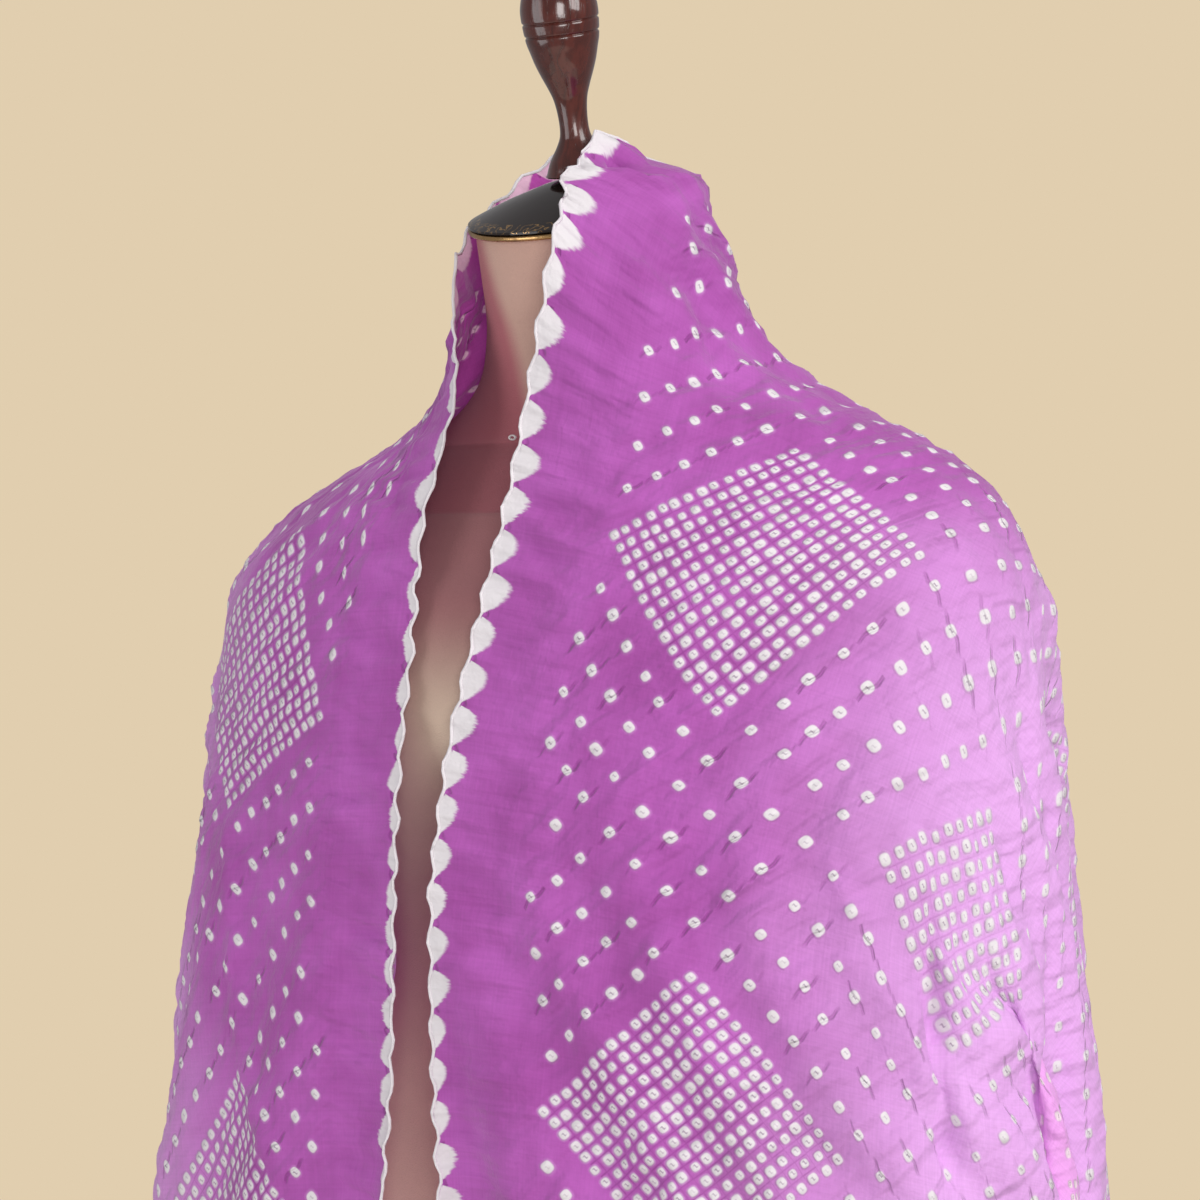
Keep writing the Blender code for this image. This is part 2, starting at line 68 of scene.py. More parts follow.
# Horizontal sections. The tilt lowers the front of a section, in degrees.
Section = namedtuple("Section", "z half_width centre_y front_y back_y squareness tilt")

FORM = [
    Section(0.740, 0.165, 0.000, -0.118, 0.122, 2.3, 0),    # hip, cut off level
    Section(0.860, 0.180, 0.000, -0.122, 0.130, 2.3, 0),
    Section(0.930, 0.166, 0.000, -0.110, 0.115, 2.2, 0),
    Section(1.000, 0.132, 0.000, -0.100, 0.086, 2.1, 0),    # waist
    Section(1.080, 0.150, 0.000, -0.118, 0.096, 2.2, 0),
    Section(1.140, 0.178, 0.000, -0.138, 0.108, 2.3, 0),    # bust
    Section(1.185, 0.208, 0.000, -0.130, 0.110, 2.2, 0),
    Section(1.215, 0.214, 0.000, -0.113, 0.102, 2.0, 0),
    Section(1.240, 0.196, 0.000, -0.099, 0.090, 1.7, 0),    # end of the shoulder
    Section(1.262, 0.162, 0.000, -0.087, 0.077, 1.6, 0),
    Section(1.280, 0.126, 0.000, -0.080, 0.066, 1.5, 0),
    Section(1.297, 0.095, -0.004, -0.078, 0.056, 1.6, 0),
    Section(1.313, 0.076, -0.012, -0.078, 0.046, 1.8, 2),
    Section(1.333, 0.065, -0.021, -0.080, 0.038, 2.0, 6),   # foot of the neck
    Section(1.357, 0.060, -0.030, -0.087, 0.027, 2.0, 12),
    Section(1.3921, 0.0585, -0.040, -0.0955, 0.0155, 2.0, 17),
]

# The drape's outer line, which the cloth follows apart from its folds.
DRAPE_BODY = [
    Section(0.050, 0.330, -0.010, -0.190, 0.185, 2.2, 0),
    Section(0.600, 0.300, -0.010, -0.176, 0.166, 2.2, 0),
    Section(0.880, 0.279, -0.010, -0.167, 0.150, 2.2, 0),
    Section(1.060, 0.253, -0.010, -0.158, 0.138, 2.2, 0),
    Section(1.130, 0.246, -0.010, -0.152, 0.132, 2.2, 0),
    Section(1.190, 0.248, -0.010, -0.143, 0.126, 2.1, 0),
]
DRAPE_LEFT_COLLAR = [
    Section(1.240, 0.232, -0.010, -0.131, 0.116, 2.0, 0),
    Section(1.272, 0.192, -0.010, -0.126, 0.102, 1.8, 0),
    Section(1.295, 0.136, -0.015, -0.122, 0.084, 1.8, 0),
    Section(1.318, 0.098, -0.030, -0.118, 0.064, 1.9, 0),
    Section(1.350, 0.084, -0.040, -0.116, 0.046, 2.0, 0),
    Section(1.400, 0.075, -0.046, -0.112, 0.032, 2.0, 0),
    Section(1.460, 0.066, -0.045, -0.106, 0.020, 2.0, 0),
]
DRAPE_RIGHT_COLLAR = [          # closer to the neck, and flatter in front
    Section(1.240, 0.205, -0.010, -0.131, 0.112, 2.0, 0),
    Section(1.272, 0.142, -0.010, -0.112, 0.098, 1.7, 0),
    Section(1.295, 0.104, -0.020, -0.106, 0.082, 1.6, 0),
    Section(1.318, 0.088, -0.030, -0.105, 0.064, 1.6, 0),
    Section(1.350, 0.080, -0.040, -0.107, 0.046, 1.7, 0),
    Section(1.400, 0.073, -0.046, -0.108, 0.032, 1.9, 0),
    Section(1.460, 0.064, -0.045, -0.104, 0.020, 2.0, 0),
]

# The long edge, from the bottom of the left panel up, round the neck, and down.
EdgePoint = namedtuple("EdgePoint", "x y z")

LEFT_FRONT_EDGE = [
    EdgePoint(0.020, -0.190, 0.050),
    EdgePoint(0.020, -0.180, 0.400),
    EdgePoint(0.012, -0.172, 0.700),
    EdgePoint(0.000, -0.1655, 0.892),
    EdgePoint(-0.008, -0.162, 0.947),
    EdgePoint(-0.016, -0.158, 1.050),
    EdgePoint(-0.010, -0.151, 1.121),
    EdgePoint(0.000, -0.142, 1.177),
    EdgePoint(0.008, -0.127, 1.2425),
    EdgePoint(0.012, -0.115, 1.300),
    EdgePoint(0.024, -0.114, 1.350),
]
NECK_EDGE = [
    EdgePoint(0.030, -0.112, 1.378),
    EdgePoint(0.021, -0.090, 1.399),
    EdgePoint(0.013, -0.068, 1.414),
    EdgePoint(0.0165, -0.056, 1.434),       # stands up beside the finial
    EdgePoint(0.022, -0.028, 1.426),
    EdgePoint(0.010, 0.003, 1.421),
    EdgePoint(-0.018, 0.013, 1.430),        # nape
    EdgePoint(-0.036, 0.006, 1.436),
    EdgePoint(-0.048, -0.003, 1.428),
    EdgePoint(-0.063, -0.017, 1.4155),
    EdgePoint(-0.070, -0.055, 1.3900),
]
RIGHT_FRONT_EDGE = [
    EdgePoint(-0.061, -0.074, 1.3655),
    EdgePoint(-0.051, -0.088, 1.325),
    EdgePoint(-0.047, -0.0957, 1.304),
    EdgePoint(-0.040, -0.111, 1.258),
    EdgePoint(-0.035, -0.125, 1.212),
    EdgePoint(-0.033, -0.1386, 1.172),
    EdgePoint(-0.034, -0.148, 1.131),
    EdgePoint(-0.036, -0.1526, 1.090),
    EdgePoint(-0.034, -0.159, 1.015),
    EdgePoint(-0.034, -0.161, 0.952),
    EdgePoint(-0.038, -0.166, 0.886),
    EdgePoint(-0.045, -0.172, 0.700),
    EdgePoint(-0.055, -0.180, 0.400),
    EdgePoint(-0.060, -0.190, 0.050),
]

# Folds that take up the spare cloth, from the side of each panel to the back. The
# lean is how far they stand outside the drape's own line, as a part of their depth.
FOLDS_EACH_SIDE = 3.5
FOLDS_START = 0.84          # as a fraction of the way from the front edge to the side
FOLDS_GROW_OVER = 0.18      # of the stretch that is folded
FOLDS_FLAT_FROM = 0.72      # the folds die out before the middle of the back
FOLDS_LEAN_SIDE = -0.95
FOLDS_LEAN_BACK = 0.85
FOLDS_TURN_OUT = (0.35, 0.90)        # where the lean changes, along the folded stretch
FOLDS_DEEPEST = 0.060

NECK_FADE = 0.05            # how far the neck edge's own shape reaches into the cloth
FRONT_FADE = 0.12           # the same for the front edges
FADE_WIDENS_OVER = 0.10
COLLAR_TOP_SIDE = 1.425
COLLAR_TOP_BACK = 1.440
LONGEST_FALL = 1.45

# What stands in the collar: the sloping neck cap and the leaning finial.
CAP_SLOPE = math.radians(17)
CAP_RADIUS = 0.0615
CAP_HEIGHT = 0.0175
CAP_SQUARENESS = 2.0
CAP_ROUNDNESS = 1.5
RING_RADIUS = 0.0620
RING_HEIGHT = 0.0030
FINIAL_LEAN = math.radians(13)
FINIAL_BACK_SET = 0.001
GAP = 0.0003

Turn = namedtuple("Turn", "radius height")
FINIAL = [
    Turn(0.0172, 0.0000), Turn(0.0180, 0.0008), Turn(0.0172, 0.0018), Turn(0.0147, 0.0081),
    Turn(0.0100, 0.0159), Turn(0.0078, 0.0216), Turn(0.0076, 0.0300), Turn(0.0087, 0.0389),
    Turn(0.0108, 0.0454), Turn(0.0134, 0.0518), Turn(0.0158, 0.0583), Turn(0.0176, 0.0648),
    Turn(0.0192, 0.0713), Turn(0.0202, 0.0830), Turn(0.0196, 0.0900), Turn(0.0172, 0.0970),
    Turn(0.0120, 0.1030), Turn(0.0040, 0.1052),
]

# ---------------------------------------------------------------- how the cloth settles

TIME_STEP = 1 / 600
KEEP_SPEED = 0.98
QUIET_KEEP_SPEED = 0.90     # in the later stages
SHEAR = 0.35
STICK = 0.5                 # of a point's slide on the form that friction takes away
REST_CLEAR = 0.003          # between the cloth and what it lies on
PINNED_PAST_NECK = 0.01
FORM_FROM, FORM_UP_TO = 0.72, 1.40
TILTED_FORM_UP_TO = 1.412
FORM_PUSH = 0.01            # the farthest that one pass pushes a point off the form
FITTINGS_FROM = 1.34
FITTINGS_WITHIN = 0.09      # of the middle, to each side
UNDER_CAP = 0.03            # how far down the cap keeps the cloth off
LINE_ABOVE, LINE_UP_TO = 0.30, 1.37
LINE_PUSH = 0.02            # the farthest that one pass pushes a point to the drape's line
FRONT_EDGES_BELOW = 1.39
DRAW_BACK = 0.3             # of the way to its place that a point is drawn in each step
FULL_BACK = 0.08            # how far the folds at the back may stand out
DEEP_BACK = 0.09            # and how far they may fall in
DEEP_LOW = 0.03
SHELL = 0.002               # how far the rest may stand out from the line
SLACK = 0.006               # and how far it may lie inside it

# The highest that the collar reaches, across the front three-quarter view.
Crest = namedtuple("Crest", "across height")
VIEW_TURN = math.radians(35)
ACROSS = np.array([math.cos(VIEW_TURN), math.sin(VIEW_TURN), 0.0])
CREST_ABOVE = 1.31
UNDER_CREST = 0.001
COLLAR_CREST = [
    Crest(-0.0920, 1.3710), Crest(-0.0884, 1.3856), Crest(-0.0790, 1.3960), Crest(-0.0579, 1.4180),
    Crest(-0.0431, 1.4277), Crest(-0.0210, 1.4405), Crest(-0.0158, 1.4335), Crest(-0.0032, 1.4322),
    Crest(0.0037, 1.4270), Crest(0.0105, 1.4177), Crest(0.0242, 1.4129), Crest(0.0368, 1.4095),
    Crest(0.0447, 1.4050), Crest(0.0458, 1.3940),
    Crest(0.0484, 1.3840), Crest(0.0550, 1.3680), Crest(0.0630, 1.3550), Crest(0.0710, 1.3420),
    Crest(0.0790, 1.3260), Crest(0.0890, 1.3156),
]
# How far out the near side hangs in the same view.
Reach = namedtuple("Reach", "height across")
NEAR_SIDE_BELOW = 1.20
NEAR_SIDE = [
    Reach(0.300, 0.2850), Reach(0.600, 0.2720), Reach(0.876, 0.2514), Reach(0.929, 0.2462),
    Reach(0.982, 0.2420), Reach(1.034, 0.2367), Reach(1.087, 0.2304), Reach(1.139, 0.2236),
    Reach(1.187, 0.2210),
]

Stage = namedtuple("Stage", "cell steps gravity bend speed_limit smoothing")
SETTLING = [
    Stage(0.020, 900, 1.0, 0.3, 0.0020, 2),
    Stage(0.020, 150, 1.0, 0.3, 0.0008, 1),
    Stage(0.010, 300, 0.5, 0.5, 0.0005, 3),
]

FURROW_HEIGHT = 0.00042
PULL_HEIGHT = 0.00022
PUCKER_SPREAD = 0.0042      # how far a coarse tie lifts the cloth round it
TURN_PULL = 0.22            # farther in, the pulls run along the other diagonal

# ---------------------------------------------------------------- the tied pattern

SQUARE_PERIOD = 0.290       # between the big squares, along the cloth
FIRST_SQUARE = 0.272        # along: the big square on the form's left front
ROW_IN = 0.145              # in from the border: the first row of big squares
PATTERN_WIDTH = 4 * ROW_IN + SQUARE_PERIOD      # five rows, the same from both borders
BAND_PERIOD = SQUARE_PERIOD / math.sqrt(2)      # between squares, square to their sides
BAND_DOTS = 3               # coarse dots on each side of a square's middle, in its band
BAND_PITCH = 0.0165
STREET_FROM = 0.0718        # from a square's middle to the first coarse dot outside it
STREET_PITCH = (BAND_PERIOD / 2 - STREET_FROM) / 1.5
FINE_PITCH = 0.0076
FINE_DOTS = 15              # along each side of a big square
FINE_RADIUS = 0.00235
SMALL_PITCH = 0.0098
SMALL_DOTS = 10
SMALL_RADIUS = 0.0029
COARSE_RADIUS = 0.0028
PLAIN_BAND = 0.060          # no coarse dot lies nearer the border
MOON_PITCH = 0.0215
MOON_DEPTH = 0.0125
MOONS_SHORT_AT = 0.33       # along on the right front: the half moons are drawn in there
COLLAR_PEAK = 0.057         # where the border turns over the collar's peak
MOON_DRAW = 0.0015          # half of how far the edge is drawn in between two of them

# Tying draws the cloth in unevenly. Each row says where a corner of a square lies on
# the hanging cloth (u, v), and where it is in the even pattern (along, in).
Pull = namedtuple("Pull", "u v along inward")
PULLS = [
    Pull(0.2112, 0.1378, 0.1968, 0.1450),     # the big square on the left front
    Pull(0.2757, 0.0636, 0.2720, 0.0698),
    Pull(0.3519, 0.1416, 0.3472, 0.1450),
    Pull(0.2519, 0.2088, 0.2720, 0.2202),
    Pull(0.4808, 0.1527, 0.4868, 0.1450),     # the big square below it
    Pull(0.5634, 0.0743, 0.5620, 0.0698),
    Pull(0.5545, 0.2363, 0.5620, 0.2202),
    Pull(0.3513, 0.2968, 0.3546, 0.2900),     # the small square between them
    Pull(0.3990, 0.2445, 0.4170, 0.2276),
    Pull(0.4297, 0.3458, 0.4170, 0.3524),
    Pull(-0.2995, 0.0960, -0.2328, 0.1450),   # the big squares on the right front
    Pull(-0.4029, 0.0628, -0.3080, 0.0698),
    Pull(-0.4436, 0.1462, -0.3832, 0.1450),
    Pull(-0.5862, 0.1287, -0.5228, 0.1450),
    Pull(0.000, 0.000, 0.0300, 0.0000),       # round the neck, and the parts out of sight
    Pull(0.000, 0.400, 0.0300, 0.4350),
    Pull(0.000, 0.800, 0.0300, 0.8700),
    Pull(1.100, 0.000, 1.1000, 0.0000),
    Pull(1.100, 0.400, 1.1000, 0.4350),
    Pull(1.100, 0.800, 1.1000, 0.8700),
    Pull(0.800, 0.200, 0.8000, 0.2050),
    Pull(0.500, 0.700, 0.5000, 0.7650),
    Pull(-1.100, 0.000, -1.0200, 0.0000),
    Pull(-1.100, 0.400, -1.0200, 0.4350),
    Pull(-1.100, 0.800, -1.0200, 0.8700),
    Pull(-0.800, 0.200, -0.7200, 0.2050),
    Pull(-0.500, 0.700, -0.4200, 0.7650),
]


# ---------------------------------------------------------------- curves and tables


def smooth_table(rows):
    """Reads a table by its first column, through a curve that never overshoots a row."""
    data = np.array(sorted(rows), float)
    key, value = data[:, 0], data[:, 1:]
    step = np.diff(key)[:, None]
    slope = np.diff(value, axis=0) / step
    tangent = np.zeros_like(value)
    tangent[0], tangent[-1] = slope[0], slope[-1]
    before, after = slope[:-1], slope[1:]
    same_way = before * after > 0
    near, far = 2 * step[1:] + step[:-1], step[1:] + 2 * step[:-1]
    safe_before, safe_after = np.where(same_way, before, 1), np.where(same_way, after, 1)
    tangent[1:-1] = np.where(same_way, (near + far) / (near / safe_before + far / safe_after), 0)

    def read(at):
        at = np.clip(np.asarray(at, float), key[0], key[-1])
        row = np.clip(np.searchsorted(key, at, side="right") - 1, 0, len(key) - 2)
        wide = (key[row + 1] - key[row])[..., None]
        t = (at - key[row])[..., None] / wide
        return (value[row] * (1 + 2 * t) * (1 - t) ** 2 + value[row + 1] * t * t * (3 - 2 * t)
                + tangent[row] * wide * t * (1 - t) ** 2 + tangent[row + 1] * wide * t * t * (t - 1))

    return read


def smooth_step(value, start, end):
    t = np.clip((value - start) / (end - start), 0, 1)
    return t * t * (3 - 2 * t)


def section_points(table, angle, z):
    """Points of a body at these heights and these angles round it, from +X towards +Y."""
    half_width, centre_y, front_y, back_y, squareness, tilt = np.moveaxis(table(z), -1, 0)
    across, along = np.cos(angle), np.sin(angle)
    reach = np.where(along < 0, centre_y - front_y, back_y - centre_y)
    x = half_width * np.sign(across) * np.abs(across) ** (2 / squareness)
    y = centre_y + reach * np.sign(along) * np.abs(along) ** (2 / squareness)
    return np.stack([x, y, z + (y - centre_y) * np.tan(np.radians(tilt))], -1)


def lengths_along(points):
    steps = np.linalg.norm(np.diff(points, axis=0), axis=1)
    return np.concatenate([[0.0], np.cumsum(steps)])


def curve_through(points, steps=12):
    """A smooth curve through the points, as a close row of points."""
    given = np.array(points, float)
    padded = np.concatenate([2 * given[:1] - given[1:2], given, 2 * given[-1:] - given[-2:-1]])
    t = np.linspace(0, 1, steps, endpoint=False)[:, None]
    parts = []
    for a, b, c, d in zip(padded, padded[1:], padded[2:], padded[3:]):
        parts.append(0.5 * (2 * b + (c - a) * t + (2 * a - 5 * b + 4 * c - d) * t ** 2
                            + (3 * b - a - 3 * c + d) * t ** 3))
    return np.concatenate(parts + [given[-1:]])


def cubic_weights(old, new):
    """A matrix that reads a smooth curve, given at the even places old, at the places new."""
    place = np.clip((new - old[0]) / (old[1] - old[0]), 0, len(old) - 1 - 1e-9)
    low = place.astype(int)
    t = place - low
    taps = np.stack([-t ** 3 + 2 * t * t - t, 3 * t ** 3 - 5 * t * t + 2,
                     -3 * t ** 3 + 4 * t * t + t, t ** 3 - t * t], -1) / 2
    matrix = np.zeros((len(new), len(old)))
    for tap in range(4):
        index = np.clip(low + tap - 1, 0, len(old) - 1)
        np.add.at(matrix, (np.arange(len(new)), index), taps[:, tap])
    return matrix


def resample(grid, old_u, old_v, new_u, new_v):
    """The grid's surface, read at closer places."""
    across, along = cubic_weights(old_u, new_u), cubic_weights(old_v, new_v)
    return np.einsum("ia,abk,jb->ijk", across, grid, along, optimize=True)


def up_the_slope(distance):
    """The middle of the neck's cut end, moved by a distance square to the cut."""
    top = FORM[-1]
    return np.array([0.0, top.centre_y - distance * math.sin(CAP_SLOPE),
                     top.z + distance * math.cos(CAP_SLOPE)])


def finial_foot():
    """Just behind the top of the dome."""
    dome = up_the_slope(RING_HEIGHT + CAP_HEIGHT + 3 * GAP)
    return dome + np.array([0.0, FINIAL_BACK_SET, FINIAL_BACK_SET * math.tan(CAP_SLOPE)])


# ---------------------------------------------------------------- the drape


class Drape:
    """Where each point of the flat cloth lies when it hangs from the neck and shoulders.

    The cloth is laid on the drape's sections ring by ring. A ring is the line at
    one distance r from the neck: a quarter circle on each side of the straight
    stretch behind the neck. Where a ring is longer than its section, the spare
    length goes into folds at the sides and the back.
    """

    SIDES = (1, -1)             # the form's left, its right
    RING_POINTS = 361
    STATIONS = 200
    RINGS = 146

    def __init__(self):
        self.sections = {1: smooth_table(DRAPE_BODY + DRAPE_LEFT_COLLAR),
                         -1: smooth_table(DRAPE_BODY + DRAPE_RIGHT_COLLAR)}
        self.edge = curve_through(LEFT_FRONT_EDGE + NECK_EDGE + RIGHT_FRONT_EDGE)
        self.edge_lengths = lengths_along(self.edge)
        start, end = self.length_at(NECK_EDGE[0]), self.length_at(NECK_EDGE[-1])
        self.nape = (start + end) / 2
        self.half_neck = (end - start) / 2
        self.grids = {side: self.ring_grid(side) for side in self.SIDES}

    def length_at(self, point):
        nearest = np.argmin(np.linalg.norm(self.edge - np.array(point), axis=1))
        return self.edge_lengths[nearest]

    def edge_points(self, u):
        """The long edge, by its own length from the nape."""
        along = self.nape - np.asarray(u, float)
        return np.stack([np.interp(along, self.edge_lengths, axis) for axis in self.edge.T], -1)

    def edge_angle(self, side, z):
        """Angle round the section where the front edge lies."""
        half_width, _, _, _, squareness, _ = np.moveaxis(self.sections[side](z), -1, 0)
        rows = LEFT_FRONT_EDGE if side > 0 else RIGHT_FRONT_EDGE[::-1]
        x = np.interp(z, [row.z for row in rows], [row.x for row in rows])
        across = np.clip(x * side / half_width, -1, 1)
        return -np.arccos(np.sign(across) * np.abs(across) ** (squareness / 2))

    def points(self, side, angle, z):
        return section_points(self.sections[side], angle, z) * np.array([side, 1, 1])

    def falls(self, side):
        """Height against length of fall, down the front edge, the side and the back."""
        front_top = NECK_EDGE[0].z if side > 0 else NECK_EDGE[-1].z
        lines = []
        for top, angle in ((front_top, None), (COLLAR_TOP_SIDE, 0), (COLLAR_TOP_BACK, math.pi / 2)):
            z = np.linspace(top, 0.0, 1200)
            angles = self.edge_angle(side, z) if angle is None else np.full_like(z, angle)
            lines.append((lengths_along(self.points(side, angles, z)), z))
        return lines

    def ring(self, side, r, falls, length):
        """One ring, from the front edge to the middle of the back, folded to its length."""
        front_z, side_z, back_z = (np.interp(r, *fall) for fall in falls)
        start = float(self.edge_angle(side, np.array(front_z)))
        angle = np.linspace(start, math.pi / 2, self.RING_POINTS)
        turn = np.sin(angle) ** 2
        to_front = np.clip(turn / math.sin(start) ** 2, 0, 1)
        z = np.where(angle > 0, side_z * (1 - turn) + back_z * turn,
                     side_z * (1 - to_front) + front_z * to_front)
        line = self.points(side, angle, z)
        along = lengths_along(line)
        if along[-1] >= length:
            return line
        first = np.interp(0.0, angle, along) * FOLDS_START
        stretch = np.clip((along - first) / (along[-1] - first), 0, 1)
        weight = smooth_step(stretch, 0, FOLDS_GROW_OVER) * (1 - smooth_step(stretch, FOLDS_FLAT_FROM, 1))
        lean_change = FOLDS_LEAN_BACK - FOLDS_LEAN_SIDE
        lean = FOLDS_LEAN_SIDE + lean_change * smooth_step(stretch, *FOLDS_TURN_OUT)
        wave = np.cos(2 * math.pi * FOLDS_EACH_SIDE * (1 - stretch)) + lean
        heading = np.gradient(line[:, :2], axis=0)
        outward = np.stack([heading[:, 1], -heading[:, 0]], -1) * side
        outward /= np.linalg.norm(outward, axis=1)[:, None]

        def folded(depth):
            shifted = line.copy()
            shifted[:, :2] += outward * (depth * weight * wave)[:, None]
            return shifted

        shallow, deep = 0.0, FOLDS_DEEPEST
        for _ in range(24):
            middle = (shallow + deep) / 2
            if lengths_along(folded(middle))[-1] < length:
                shallow = middle
            else:
                deep = middle
        return folded(shallow)

    def ring_grid(self, side):
        falls = self.falls(side)
        stations = np.linspace(0, 1, self.STATIONS)
        grid = []
        for r in np.linspace(0, LONGEST_FALL, self.RINGS):
            line = self.ring(side, r, falls, self.half_neck + math.pi / 2 * r)
            along = lengths_along(line)
            even = stations * along[-1]
            grid.append(np.stack([np.interp(even, along, axis) for axis in line.T], -1))
        return np.array(grid)

    def read_grid(self, side, r, station):
        row = r / LONGEST_FALL * (self.RINGS - 1)
        column = station * (self.STATIONS - 1)
        i = np.clip(row.astype(int), 0, self.RINGS - 2)
        j = np.clip(column.astype(int), 0, self.STATIONS - 2)
        a, b = (row - i)[:, None], (column - j)[:, None]
        grid = self.grids[side]
        return (grid[i, j] * (1 - a) * (1 - b) + grid[i + 1, j] * a * (1 - b)
                + grid[i, j + 1] * (1 - a) * b + grid[i + 1, j + 1] * a * b)

    def place(self, u, v):
        """Places a grid of flat cloth points; v is 0 in the first column."""
        placed = np.zeros(u.shape + (3,))
        for side in self.SIDES:
            here = (u >= 0) if side > 0 else (u < 0)
            beyond = np.abs(u[here]) - self.half_neck
            across = v[here]
            behind_neck = beyond <= 0
            r = np.where(behind_neck, across, np.hypot(beyond, across))
            fan = np.arctan2(across, np.maximum(beyond, 1e-9)) * r
            from_front = np.where(behind_neck, math.pi / 2 * r - beyond, fan)
            station = from_front / (self.half_neck + math.pi / 2 * r)
            placed[here] = self.read_grid(side, r, station)
        shift = self.edge_points(u[:, 0]) - placed[:, 0]
        past_neck = np.clip((np.abs(u[:, :1]) - self.half_neck) / FADE_WIDENS_OVER, 0, 1)
        fade = NECK_FADE + (FRONT_FADE - NECK_FADE) * past_neck
        return placed + shift[:, None, :] * np.exp(-(v / fade) ** 2)[..., None]


class Lofted:
    """A body read from its section tables, one for each side."""

    LEVEL = 0.001
    THINNEST = 0.03

    def __init__(self, left, right):
        levels = np.clip(np.arange(0.0, 1.6, self.LEVEL), left[0].z, left[-1].z)
        self.rows = np.stack([smooth_table(left)(levels), smooth_table(right)(levels)])
        self.tilted = False

    def row_at(self, side, z):
        place = np.clip(z / self.LEVEL, 0, self.rows.shape[1] - 1.001)
        low = place.astype(int)
        part = (place - low)[..., None]
        return self.rows[side, low] * (1 - part) + self.rows[side, low + 1] * part

    def depth(self, points, grow):
        """Under 1 inside the body grown by this much, and 1 on it."""
        x, y, z = np.moveaxis(points, -1, 0)
        side = (x < 0).astype(int)
        row = self.row_at(side, z)
        if self.tilted:
            row = self.row_at(side, z - (y - row[..., 1]) * np.tan(np.radians(row[..., 5])))
        half_width, centre_y, front_y, back_y, squareness = np.moveaxis(row[..., :5], -1, 0)
        reach = np.where(y < centre_y, centre_y - front_y, back_y - centre_y) + grow
        across = np.abs(x) / np.maximum(half_width + grow, self.THINNEST)
        along = np.abs(y - centre_y) / np.maximum(reach, self.THINNEST)
        across, along = np.maximum(across, 1e-6), np.maximum(along, 1e-6)
        return (across ** squareness + along ** squareness) ** (1 / squareness)

    def slope(self, points, grow, axes):
        here = self.depth(points, grow)
        nudges = np.eye(3) * self.LEVEL
        return here, np.stack([(self.depth(points + nudges[axis], grow) - here) / self.LEVEL
                               for axis in axes], -1)


def along_axis(points, foot, lean):
    """Height up an axis that leans to the front, and the offset from it."""
    axis = np.array([0.0, -math.sin(lean), math.cos(lean)])
    height = (points - foot) @ axis
    return height, points - foot - height[..., None] * axis


